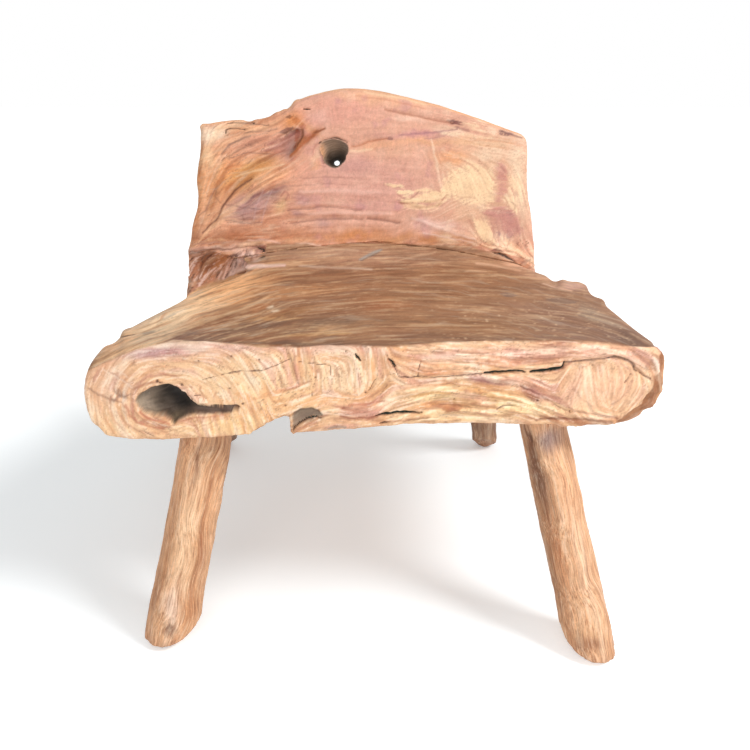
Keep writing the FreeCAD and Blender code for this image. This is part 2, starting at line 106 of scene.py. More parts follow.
def linear(colour):
    """Scene-linear values of a named or written colour."""
    text = COLOURS.get(colour, colour).lstrip("#")
    parts = np.array([int(text[index:index + 2], 16) / 255 for index in (0, 2, 4)])
    return np.where(parts < 0.04045, parts / 12.92, ((parts + 0.055) / 1.055) ** 2.4)


# Noise and measures over many points at once


class Noise:
    """Smooth seeded noise over points, about -1 to 1."""

    GAIN = 1.6
    SHIFT = 17.3

    def __init__(self, seed):
        draw = np.random.default_rng(seed)
        self.order = draw.permutation(256)
        slopes = draw.normal(size=(256, 3))
        self.slopes = slopes / np.linalg.norm(slopes, axis=1, keepdims=True)

    def once(self, points):
        cell = np.floor(points).astype(int)
        part = points - cell
        fade = part ** 3 * (part * (part * 6 - 15) + 10)
        total = np.zeros(len(points))
        for corner in product((0, 1), repeat=3):
            key = self.order[(cell[:, 0] + corner[0]) & 255]
            key = self.order[(key + cell[:, 1] + corner[1]) & 255]
            key = self.order[(key + cell[:, 2] + corner[2]) & 255]
            weight = np.prod(np.where(corner, fade, 1 - fade), axis=1)
            total += weight * ((part - corner) * self.slopes[key]).sum(axis=1)
        return total * self.GAIN

    def __call__(self, points, octaves=1, gain=0.5):
        total = np.zeros(len(points))
        size = 1.0
        for octave in range(octaves):
            total += self.once(points * 2 ** octave + octave * self.SHIFT) * size
            size *= gain
        return total


class Scatter:
    """Seeded random values on a plane, blended between cells of a given size in pixels."""

    SIDE = 512

    def __init__(self, seed, cell):
        self.cell = cell
        self.values = np.random.default_rng(seed).normal(size=(self.SIDE, self.SIDE))

    def __call__(self, px):
        place = px / self.cell
        low = np.floor(place).astype(int)
        x, y = low[:, 0] % self.SIDE, low[:, 1] % self.SIDE
        right, down = (x + 1) % self.SIDE, (y + 1) % self.SIDE
        across, downward = (place - low).T
        upper = self.values[y, x] * (1 - across) + self.values[y, right] * across
        lower = self.values[down, x] * (1 - across) + self.values[down, right] * across
        return upper * (1 - downward) + lower * downward


class Grain:
    """Direction of the grain over the photograph, blended from guides of (x, y, degrees)."""

    STEP = 3

    def __init__(self, guides, spread=12):
        side = np.arange(0, FRAME_PX + self.STEP, self.STEP)
        x, y = np.meshgrid(side, side)
        total = np.zeros(x.shape, dtype=complex)
        for guide_x, guide_y, degrees in guides:
            weight = ((x - guide_x) ** 2 + (y - guide_y) ** 2 + spread ** 2) ** -1.6
            total += weight * np.exp(2j * math.radians(degrees))
        angle = np.angle(total) / 2
        self.runs = np.stack((np.cos(angle), np.sin(angle)), axis=-1)

    def __call__(self, px):
        place = np.clip(px / self.STEP, 0, len(self.runs) - 1).astype(int)
        return self.runs[place[:, 1], place[:, 0]]

    def draw(self, px, seed, cell, reach, steps=7):
        """Random values drawn out along the grain, with a spread of 1."""
        scatter = Scatter(seed, cell)
        total = scatter(px)
        for way in (1, -1):
            place, last = px, self(px) * way
            for _ in range(steps):
                place = place + last * reach / steps
                total += scatter(place)
                run = self(place)
                last = run * np.where((run * last).sum(axis=1) < 0, -1, 1)[:, None]
        return total / total.std()


def smooth(value, low, high):
    """Rises smoothly from 0 at low to 1 at high."""
    part = np.clip((value - low) / (high - low), 0, 1)
    return part * part * (3 - 2 * part)


def pixels(points):
    """Where points of the bench fall in the photograph."""
    drop = CAMERA_HEIGHT - points[:, 2]
    reach = points[:, 1] - CAMERA_Y
    away = reach * math.cos(CAMERA_TILT) + drop * math.sin(CAMERA_TILT)
    down = drop * math.cos(CAMERA_TILT) - reach * math.sin(CAMERA_TILT)
    return CENTRE_PX + FOCAL_PX * np.stack((points[:, 0], down), axis=1) / away[:, None]


def shake(points, px, noise, size, seed):
    """Smooth and rough offsets that break up what is drawn in photograph pixels."""
    sway = np.stack((noise(points * size, 3), noise(points * size + 9, 3)), axis=1)
    jitter = np.stack([Scatter(draw, JITTER_CELL)(px) for draw in (seed, seed + 1)], axis=1)
    return sway, jitter


def beside(px, start, end):
    """How far along a straight run points lie, as a share of it, and their gap from it."""
    run = np.subtract(end, start)
    share = np.clip((px - start) @ run / (run @ run), 0, 1)
    return share, np.linalg.norm(px - start - share[:, None] * run, axis=1)


def blob(px, x, y, wide, tall, turn=0.0):
    """Soft oval spot, 1 at its middle."""
    angle = math.radians(turn)
    across = (px[:, 0] - x) * math.cos(angle) + (px[:, 1] - y) * math.sin(angle)
    upward = (px[:, 1] - y) * math.cos(angle) - (px[:, 0] - x) * math.sin(angle)
    return np.exp(-((across / wide) ** 2 + (upward / tall) ** 2) ** 1.4)


def near_line(px, line):
    """Closeness to a line of (x, y, width) points, 1 on it and falling over its width."""
    best = np.zeros(len(px))
    for (*start, first), (*end, last) in zip(line, line[1:]):
        share, gap = beside(px, start, end)
        best = np.maximum(best, np.exp(-(gap / (first + (last - first) * share)) ** 2))
    return best


def near_lines(px, lines, share=1.0):
    """Closeness to the nearest of several lines, with a share of their widths."""
    best = np.zeros(len(px))
    for line in lines:
        best = np.maximum(best, near_line(px, [(x, y, wide * share) for x, y, wide in line]))
    return best


def above_line(px, line):
    """Pixels by which points lie above a line of (x, y) across the photograph."""
    x, y = zip(*line)
    return np.interp(px[:, 0], x, y) - px[:, 1]


def inside_of(px, outline):
    """Pixels from points to a closed outline, positive inside it."""
    inside = np.zeros(len(px), dtype=bool)
    gap = np.full(len(px), np.inf)
    for start, end in zip(outline, (*outline[1:], outline[0])):
        gap = np.minimum(gap, beside(px, start, end)[1])
        wide, tall = np.subtract(end, start)
        crosses = (start[1] > px[:, 1]) != (end[1] > px[:, 1])
        inside ^= crosses & (px[:, 0] < start[0] + (px[:, 1] - start[1]) * wide / (tall or 1))
    return np.where(inside, gap, -gap)


def nudge(points, moves):
    """Moves points near places of (x, y, reach) by pixels to the right and down in the photograph."""
    px = pixels(points)
    away = (points[:, 1] - CAMERA_Y) * math.cos(CAMERA_TILT)
    away += (CAMERA_HEIGHT - points[:, 2]) * math.sin(CAMERA_TILT)
    moved = points.copy()
    for x, y, reach, right, down in moves:
        share = blob(px, x, y, reach, reach) * away / FOCAL_PX
        moved[:, 0] += share * right
        moved[:, 2] -= share * down
    return moved


def blend(first, second, share):
    """First colours passing into second ones by a share at each point."""
    return first + (second - first) * share[:, None]


def lay(colour, shade, share):
    """Colours with a named one laid over them by a share at each point."""
    return blend(colour, linear(shade), np.clip(share, 0, 1))


def paint(px, base, spots):
    """A base colour with soft spots of (x, y, wide, tall, turn, colour, amount) over it."""
    colour = np.tile(linear(base), (len(px), 1))
    for x, y, wide, tall, turn, name, amount in spots:
        colour = lay(colour, name, blob(px, x, y, wide, tall, turn) * amount)
    return colour


def mottle(px, ragged, colour, spots):
    """Spots as for paint laid over colours, with edges torn by a ragged value."""
    for x, y, wide, tall, turn, name, amount in spots:
        share = smooth(blob(px, x, y, wide, tall, turn) * (1 + ragged * 0.5), 0.28, 0.66)
        colour = lay(colour, name, share * amount)
    return colour


def vary(colour, field, light, dark, amount):
    """Colours with a light and a dark one laid where a field is high and low."""
    colour = lay(colour, light, smooth(field, 0.3, 1.7) * amount)
    return lay(colour, dark, smooth(-field, 0.5, 1.8) * amount)


def hair(field, wide):
    """Thin lines where a field passes through zero."""
    return smooth(-np.abs(field), -wide, 0)


def taper(width, *places):
    """A line of (x, y, width) points through places of x and y, thinner towards its ends."""
    share = np.sin(np.linspace(0, math.pi, len(places) // 2))
    return list(zip(places[::2], places[1::2], width * (0.65 + 0.35 * share)))


def near_tapers(px, lines):
    """Closeness to the nearest of several tapered lines."""
    return near_lines(px, [taper(*line) for line in lines])


def streak(px, colour, strokes):
    """Tapered lines in groups of (colour, amount, lines) drawn over colours."""
    for name, amount, *lines in strokes:
        colour = lay(colour, name, near_tapers(px, lines) * amount)
    return colour


def weather(colour, fine, coarse, strength):
    """Colours darkened and bleached along the grain."""
    dark = (smooth(coarse, 0.6, 2.0) * np.clip(strength, 0, 1.2) * 0.6)[:, None]
    colour = colour * (1 - dark * (0.50, 0.66, 0.70))
    colour = lay(colour, "ivory", smooth(-coarse, 0.9, 2.2) * strength * 0.3)
    return colour * (1 + np.clip(fine, -2.2, 2.2) * 0.075 * strength)[:, None]


def plain_colour(points, noise, base, inner):
    """Colours of the faces that the photograph doesn't show, with their grain along X."""
    colour = lay(linear(base), "clay", smooth(noise(points * 8, 3), -0.4, 0.8) * 0.5)
    colour = lay(colour, "cream", smooth(noise(points * 11 + 4, 2), 0.1, 0.8) * 0.5)
    return weather(colour, noise(points / (0.03, 0.0022, 0.0022) + 5, 2) * 2, inner * 2, 1.0)


# Meshes


def even_mesh(node, voxel, finer):
    """The node's solid as an even net, split finer where each test in turn holds."""
    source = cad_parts[node]
    solid = bmesh.new()
    solid.from_mesh(source.data)
    bmesh.ops.remove_doubles(solid, verts=solid.verts, dist=WELD_GAP)
    start = bpy.data.meshes.new(f"{node}_start")
    solid.to_mesh(start)
    surface = BVHTree.FromBMesh(solid)
    solid.free()
    holder = bpy.data.objects.new(f"{node}_start", start)
    bpy.context.scene.collection.objects.link(holder)
    remesh = holder.modifiers.new("even", "REMESH")
    remesh.mode = "VOXEL"
    remesh.voxel_size = voxel
    even = bpy.data.meshes.new_from_object(holder.evaluated_get(bpy.context.evaluated_depsgraph_get()))
    bpy.data.objects.remove(holder)
    net = bmesh.new()
    net.from_mesh(even)
    for test in finer:
        centres = np.array([face.calc_center_median() for face in net.faces])
        normals = np.array([face.normal for face in net.faces])
        chosen = test(centres, normals)
        edges = {edge for face, keep in zip(net.faces, chosen) if keep for edge in face.edges}
        bmesh.ops.subdivide_edges(net, edges=list(edges), cuts=1, use_grid_fill=True)
    for vertex in net.verts:
        vertex.co = surface.find_nearest(vertex.co)[0]
    bmesh.ops.smooth_vert(
        net, verts=net.verts, factor=0.4, use_axis_x=True, use_axis_y=True, use_axis_z=True
    )
    net.to_mesh(even)
    net.free()
    even.update()
    return even


def read(mesh, field):
    """Places or normals of a mesh's points."""
    values = np.empty(len(mesh.vertices) * 3, dtype=np.float32)
    mesh.vertices.foreach_get(field, values)
    return values.reshape(-1, 3).astype(float)


def finish_piece(node, mesh, places, flow, tint, marks, material):
    """Makes the piece that stands for a node, with three fields each for its flow, tint and marks."""
    inside = np.clip(places, list(cad_low), list(cad_high))
    mesh.vertices.foreach_set("co", inside.astype(np.float32).ravel())
    mesh.polygons.foreach_set("use_smooth", np.ones(len(mesh.polygons), dtype=bool))
    for name, fields in (("flow", flow), ("tint", tint.T), ("marks", marks)):
        layer = mesh.attributes.new(name, "FLOAT_VECTOR", "POINT")
        layer.data.foreach_set("vector", np.stack(fields, axis=1).astype(np.float32).ravel())
    mesh.materials.clear()
    mesh.materials.append(material)
    mesh.update()
    piece = bpy.data.objects.new(f"{node}_wood", mesh)
    bpy.context.scene.collection.objects.link(piece)
    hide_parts(node)
    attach(piece, "root")


# Materials


class Shader:
    """Short way to write the nodes of a material or of the world."""

    def __init__(self, holder, surface="Principled BSDF"):
        holder.use_nodes = True
        self.holder = holder
        self.tree = holder.node_tree
        self.surface = self.tree.nodes[surface]

    def node(self, kind, inputs=(), **settings):
        made = self.tree.nodes.new(kind)
        for key, value in settings.items():
            setattr(made, key, value)
        for key, value in dict(inputs).items():
            if isinstance(value, bpy.types.NodeSocket):
                self.tree.links.new(value, made.inputs[key])
            else:
                made.inputs[key].default_value = value
        return made

    def drive(self, socket, value):
        self.tree.links.new(value, self.surface.inputs[socket])

    def attribute(self, name):
        return self.node("ShaderNodeAttribute", attribute_name=name).outputs["Vector"]

    def place(self):
        return self.node("ShaderNodeTexCoord").outputs["Object"]

    def split(self, vector):
        return self.node("ShaderNodeSeparateXYZ", {"Vector": vector}).outputs

    def noise(self, vector, scale, detail=4.0, roughness=0.6, distortion=0.0):
        inputs = {
            "Vector": vector,
            "Scale": scale,
            "Detail": detail,
            "Roughness": roughness,
            "Distortion": distortion,
        }
        return self.node("ShaderNodeTexNoise", inputs).outputs[0]

    def finish(self, output, shown):
        self.tree.links.new(shown, self.tree.nodes[output].inputs["Surface"])

    def direct_rays(self):
        """1 for rays that show a thing to the camera, straight, mirrored or through glass."""
        paths = self.node("ShaderNodeLightPath").outputs
        mirrored = self.math("MAXIMUM", paths["Is Camera Ray"], paths["Is Glossy Ray"])
        return self.math("MAXIMUM", mirrored, paths["Is Transmission Ray"])

    def math(self, operation, *values):
        return self.node("ShaderNodeMath", dict(enumerate(values)), operation=operation).outputs[0]

    def ramp(self, value, low, high, start=0.0, end=1.0):
        inputs = {"Value": value, "From Min": low, "From Max": high, "To Min": start, "To Max": end}
        made = self.node("ShaderNodeMapRange", inputs, interpolation_type="SMOOTHSTEP")
        return made.outputs[0]

    def rise(self, value, low, high, amount, share):
        """A ramp from 0 to an amount, times a share."""
        return self.math("MULTIPLY", self.ramp(value, low, high, 0.0, amount), share)

    def mix(self, share, first, second, blend="MIX"):
        inputs = {0: share, 6: first, 7: second}
        made = self.node("ShaderNodeMix", inputs, data_type="RGBA", blend_type=blend, clamp_factor=True)
        return made.outputs[2]


def rgba(colour):
    return (*linear(colour), 1.0)


def wood(name, bands, gloss):
    """Worn wood whose grain follows the flow, tint and marks stored on the mesh."""
    shader = Shader(bpy.data.materials.new(name))
    flow = shader.attribute("flow")
    tint = shader.attribute("tint")
    marks = shader.split(shader.attribute("marks"))
    crack, grain, wear = marks[0], marks[1], marks[2]
    streaks = shader.noise(flow, 1.6, 5.0, 0.62, 0.25)
    fibre = shader.noise(flow, 6.5 if bands else 2.6, 3.0, 0.62)
    grit = shader.noise(shader.place(), 420.0, 2.0, 0.6)

    deep = shader.mix(1.0, tint, (0.52, 0.34, 0.25, 1.0), "MULTIPLY")
    pale = shader.mix(0.6, tint, rgba("ivory"))
    colour = tint
    if bands:
        broad = shader.noise(flow, 0.45, 3.0, 0.5, 0.3)
        colour = shader.mix(shader.ramp(broad, 0.42, 0.75, 0.0, 0.45 * bands), colour, deep)
        colour = shader.mix(shader.ramp(broad, 0.48, 0.25, 0.0, 0.5 * bands), colour, pale)
        colour = shader.mix(shader.rise(streaks, 0.5, 0.72, 0.85 * bands, grain), colour, deep)
        colour = shader.mix(shader.rise(streaks, 0.47, 0.3, 0.8 * bands, grain), colour, pale)
    fine = shader.rise(fibre, 0.5, 0.7, 0.85, grain)
    colour = shader.mix(fine, colour, deep)
    colour = shader.mix(shader.rise(fibre, 0.46, 0.28, 0.7, grain), colour, pale)
    speck = shader.ramp(grit, 0.3, 0.7, 0.94, 1.06)
    colour = shader.mix(1.0, colour, speck, "MULTIPLY")
    thread = shader.ramp(shader.noise(flow, 5.2, 2.0, 0.6), 0.3, 0.7, 0.8, 1.2)
    colour = shader.mix(grain, colour, thread, "MULTIPLY")

    # Cracks, splits and pits are painted as shade: umber at their rims and near-black green in their depths
    torn = shader.math("MULTIPLY", shader.math("SUBTRACT", grit, 0.5), crack)
    edge = shader.math("ADD", crack, torn)
    crack_rim_shade = shader.ramp(edge, 0.15, 0.5, 0.0, 0.6)
    colour = shader.mix(crack_rim_shade, colour, rgba("umber"))
    hollow = shader.ramp(edge, 0.5, 0.75)
    colour = shader.mix(hollow, colour, rgba("crack_shade"))
    shader.drive("Base Color", colour)

    rough = shader.math("ADD", shader.ramp(streaks, 0.3, 0.7, gloss, gloss + 0.16), wear)
    rough = shader.math("MAXIMUM", rough, shader.math("MULTIPLY", hollow, 0.9))
    shader.drive("Roughness", rough)
    shader.surface.inputs["Specular IOR Level"].default_value = 0.4

    height = shader.math("MULTIPLY", shader.math("SUBTRACT", 1.0, streaks), 0.5 + 0.4 * bands)
    height = shader.math("SUBTRACT", height, shader.math("MULTIPLY", fine, 0.25 + 0.45 * bands))
    height = shader.math("ADD", height, shader.math("MULTIPLY", grit, 0.14))
    relief = {"Strength": 0.4 + 0.25 * bands, "Distance": 0.0016, "Height": height}
    bump = shader.node("ShaderNodeBump", relief)
    shader.drive("Normal", bump.outputs[0])
    return shader.holder


# Seat, with its marks in photograph pixels
# Spots and patches are (x, y, wide, tall, turn, colour, amount), strokes (colour, amount, tapered lines)

TOP_GRAIN = Grain((
    (110, 345, -30), (150, 322, -27), (200, 298, -22), (150, 338, -16), (240, 320, -11), (250, 284, -14),
    (228, 306, -18), (300, 336, -2), (320, 302, -5), (290, 270, -2), (400, 256, -3), (400, 290, 1),
    (400, 332, 0), (480, 274, 3), (500, 300, 5), (560, 294, 8), (600, 318, 16), (560, 332, 4),
    (640, 340, 28), (470, 330, 0), (264, 300, -30), (345, 322, -8),
))
FRONT_GRAIN = Grain((
    (96, 400, 84), (104, 378, -62), (112, 424, 58), (124, 400, 88), (134, 378, -46), (150, 428, 24),
    (165, 372, -6), (150, 352, -8), (182, 432, 4), (205, 378, 34), (200, 350, 0), (215, 395, 62),
    (206, 426, 78), (236, 424, 74), (250, 400, 66), (250, 368, 58), (262, 350, 12), (283, 372, 76),
    (300, 358, 84), (290, 396, -16), (330, 352, 8), (332, 376, 86), (360, 378, 82), (340, 404, 8),
    (362, 412, -8), (330, 427, -4), (306, 414, -32), (378, 362, 84), (378, 392, -40), (408, 358, 4),
    (404, 372, 40), (404, 400, -18), (430, 386, -9), (460, 355, 1), (455, 398, 3), (486, 382, 12),
    (500, 402, 2), (520, 352, 2), (532, 388, 28), (540, 362, -4), (548, 408, 22), (568, 386, -62),
    (590, 398, 76), (600, 350, 6), (604, 374, 84), (628, 392, -66), (600, 418, 12), (640, 412, -34),
    (634, 356, 28), (656, 380, 78),
), 9)
TOP_SPOTS = (
    (350, 257, 130, 13, 0, "#B4886C", 0.85), (300, 253, 55, 5, 0, "#B68E74", 0.7),
    (452, 252, 60, 8, 2, "#A97E60", 0.7),
    (300, 280, 80, 9, 1, "#96694A", 0.8),
    (215, 296, 64, 17, -20, "#FABE86", 0.95),
    (162, 324, 54, 15, -26, "#FFDDB2", 0.95), (114, 346, 28, 10, -28, "#E4B184", 0.95),
    (290, 292, 52, 6, -4, "#BF8557", 0.7), (262, 318, 60, 7, -8, "#A97749", 0.7),
    (300, 331, 62, 7, -2, "#B08050", 0.6), (340, 320, 40, 7, 0, "#7E5A40", 0.75),
    (390, 304, 26, 7, 0, "#AB6B40", 0.6), (430, 296, 60, 8, 0, "#91633F", 0.5),
    (225, 333, 42, 6, -14, "#8A6548", 0.75), (300, 327, 60, 8, -3, "#7D5A41", 0.7),
    # The dark brown spots on this line and the next run along the top just behind the front edge: painted
    # shade, darker than the top's own brown
    (198, 341, 34, 3, -4, "#6F4D38", 0.8), (310, 343, 60, 3.4, 0, "#6B4A35", 0.85),
    (470, 338, 110, 3, 0, "#6F4A32", 0.7),
    (470, 326, 70, 10, 2, "#96683F", 0.5),
    (560, 318, 60, 12, 12, "#946B52", 0.6),
    (600, 318, 28, 9, 30, "#86705F", 0.5),
    # The spots on this line lie along the top just behind the front edge at the right end: painted shade
    (600, 334, 60, 9, 14, "#7A523B", 0.8), (636, 342, 30, 7, 28, "#603E2C", 0.9),
    (540, 274, 34, 5, 10, "#B88667", 0.6), (572, 286, 18, 5, 6, "#CF9F8B", 0.9),
    (516, 262, 22, 6, 16, "#E5B595", 0.9),
)
TOP_PATCHES = (
    (505, 293, 9, 3.4, 5, "#6A5550", 0.65), (560, 301, 15, 3.6, 7, "#705F56", 0.55),
    (590, 314, 12, 5, 20, "#7C6A5A", 0.35),
    (336, 323, 24, 4, -6, "#71543F", 0.6), (250, 329, 46, 3, -12, "#7E5B42", 0.7),
    (183, 337, 26, 2.4, -12, "#7B5A44", 0.7),
    (262, 306, 11, 3.6, -24, "#A5683C", 0.6),
    (255, 257, 9, 5.5, -10, "#C9A293", 0.9),
    (280, 318, 24, 3, -4, "#C79562", 0.6), (322, 334, 34, 2.4, 0, "#C49765", 0.6),
    (402, 322, 30, 2.4, 2, "#8A6142", 0.6),
)
TOP_STROKES = (
    ("ivory", 0.6, (2, 164, 318, 184, 311)),
    ("#EBC39A", 0.45, (1.3, 196, 312, 226, 300, 240, 296), (1.3, 130, 338, 160, 326, 178, 322)),
    ("#7C7266", 0.6, (2, 143, 334, 154, 331)),
    ("#F4DDBE", 0.7, (1.7, 268, 307.5, 273, 306), (1.8, 273, 310.5, 278, 309.5)),
    ("#6F4A40", 0.6, (1.4, 252, 252, 251, 262), (1.2, 257, 251, 257, 260)),
    # Near-black short line in the crack at the joint of seat and back: painted shade
    ("#1F1714", 0.9, (1.8, 260.5, 258.5, 264.5, 256.5)),
    ("#D8BBA4", 0.6, (1.3, 300, 266, 318, 267, 350, 268, 372, 270)),
    ("#D0AA8C", 0.5, (1.7, 270, 247, 300, 244.5, 330, 248, 358, 251)),
    ("#C9A283", 0.5, (1.2, 392, 262, 412, 257, 436, 252)),
    ("#CDA687", 0.5, (1.2, 466, 271, 476, 270, 486, 271)),
    ("#E2B695", 0.7, (1.6, 476, 263, 496, 265, 520, 270)),
    ("#E0B294", 0.7, (1.3, 543, 284, 556, 288, 572, 291)),
    ("#D4A483", 0.5, (1.2, 520, 276, 545, 278, 566, 284)),
    ("#C79E7A", 0.5, (0.9, 310, 336, 328, 330, 346, 326)),
    ("#8A614A", 0.5, (1, 407, 265, 430, 256, 454, 251, 471, 248)),
    ("#A09A92", 0.85, (1.6, 360, 259.5, 370, 254, 381, 249.5)),
    ("#5E5650", 0.6, (0.8, 361, 260.5, 371, 256, 380, 251.5)),
    # Dark line along the top just behind the front edge: painted shade
    ("#5E4030", 0.5, (1.4, 180, 341, 216, 342, 300, 344, 372, 345, 430, 343, 470, 341)),
)
LEDGE_STROKES = (
    ("#EBC8BA", 0.9, (2.1, 231, 274, 238, 270.5, 246, 267.5, 256, 266.3, 285, 265.5)),
    # Dark line under the splinter ledge: painted shadow
    ("#6B4335", 0.8, (1.3, 238, 274, 245, 271.5, 252, 269.5)),
)
TOP_CRACKS = (
    ((112, 339, 0.5), (124, 336, 0.8), (135, 334, 0.5)),
    ((486, 254, 0.9), (499, 255.5, 2.2), (507, 257.5, 2.2), (515, 262, 0.7)),
)
FRONT_SPOTS = (
    # The two mauve spots on this line run along the rounded top of the front face: painted sheen
    (190, 350, 105, 8, -3, "#CDA095", 0.8), (152, 352, 32, 6, -8, "#B48C8C", 0.75),
    (340, 350, 60, 6, 0, "#DDB0A2", 0.7), (105, 378, 26, 34, 0, "#DBA988", 0.8),
    (112, 426, 26, 12, 40, "#EFC79C", 0.7), (285, 384, 62, 28, 0, "#F0C596", 0.8),
    (228, 380, 34, 16, 10, "#F0CBA0", 0.7), (170, 431, 75, 8, 3, "#EFC69A", 0.8),
    (232, 424, 44, 11, 0, "#F0C48E", 0.8), (290, 404, 34, 8, -10, "#E8AF7A", 0.6),
    (345, 370, 28, 22, 0, "#F2D0AA", 0.8), (335, 396, 25, 7, 0, "#E3A97B", 0.7),
    (424, 364, 40, 8, -3, "#E9B797", 0.7),
    (436, 371, 26, 4, 3, "#DB9468", 0.6), (410, 387, 38, 7, -10, "#CF8A53", 0.75),
    (378, 398, 18, 8, 0, "#D79A72", 0.6), (450, 396, 58, 9, 4, "#F2CE94", 0.85),
    (500, 406, 70, 9, 2, "#F3D3A0", 0.85), (430, 416, 50, 5, 2, "#EFCB9A", 0.7),
    (440, 405, 26, 3, -4, "#B9774C", 0.6), (480, 379, 16, 5, 10, "#C9938C", 0.8),
    (512, 381, 18, 6, 10, "#D9A090", 0.6), (542, 392, 18, 9, 24, "#BE8274", 0.7),
    (538, 395, 7, 10, 0, "#A86E60", 0.5), (598, 388, 44, 24, 0, "#EEBB98", 0.85),
    (570, 352, 70, 8, 0, "#EFBEA8", 0.75),
    (480, 354, 50, 7, 0, "#E9B699", 0.6),
    (520, 362, 26, 5, 0, "#D79C8A", 0.6),
    (640, 358, 16, 9, 24, "#E3AF98", 0.8), (580, 421, 34, 3.5, 4, "#A5663F", 0.8),
    (612, 421, 16, 4, 12, "#A9694B", 0.6), (655, 392, 6, 20, 8, "#9E6F50", 0.9),
    (661, 360, 5, 12, 0, "#A67A63", 0.7), (362, 412, 22, 8, -4, "#D3947F", 0.9),
    # The spot at (306, 415) is painted shade in the notch's recess
    (306, 415, 15, 6, 0, "#8E6F58", 0.9), (318, 428, 32, 6, 0, "#C7885F", 0.6),
)
FRONT_PATCHES = (
    (126, 396, 9, 5, 30, "#9C7060", 0.65), (116, 393, 6, 3, 40, "#94705F", 0.6),
    (128, 386, 8, 3.5, -30, "#B87A5E", 0.6), (133, 412, 4, 9, -14, "#B5705A", 0.7),
    (144, 421, 7, 3.4, 24, "#B0705C", 0.7), (162, 426, 10, 2.6, 10, "#A86A56", 0.7),
    (214, 420, 24, 2.4, -4, "#C98A62", 0.6), (228, 357, 5, 2.5, 0, "#A8826C", 0.5),
    (184, 371, 4, 2.2, 20, "#A0846E", 0.7), (196, 364, 4, 2.2, 0, "#B08468", 0.5),
    (296, 376, 3, 14, 6, "#D8986F", 0.6), (272, 393, 22, 3, -14, "#DB9A6C", 0.6),
    (244, 396, 14, 4, 20, "#E3A878", 0.6), (254, 381, 12, 5, 40, "#F6DDBB", 0.6),
    (222, 394, 12, 5, 30, "#F7DFC0", 0.6), (200, 400, 11, 3.6, 24, "#F3D2B4", 0.9),
    (331, 394, 12, 5, 0, "#E9C6B0", 0.6), (450, 408, 16, 2.4, -4, "#9D6440", 0.7),
    (532, 395, 9, 5, 40, "#9C6353", 0.6), (560, 402, 12, 4, 24, "#B57A66", 0.5),
    (556, 388, 6, 6, 0, "#B27C6C", 0.5), (470, 390, 20, 2.2, 4, "#C98B52", 0.6),
    (496, 396, 26, 2.4, 3, "#D9A266", 0.5), (424, 395, 30, 2.4, -6, "#C8854C", 0.6),
    (648, 404, 8, 6, -30, "#A77655", 0.8), (628, 424, 10, 3.5, -20, "#B2826A", 0.6),
    (652, 366, 7, 6, 40, "#9A735F", 0.6),
)
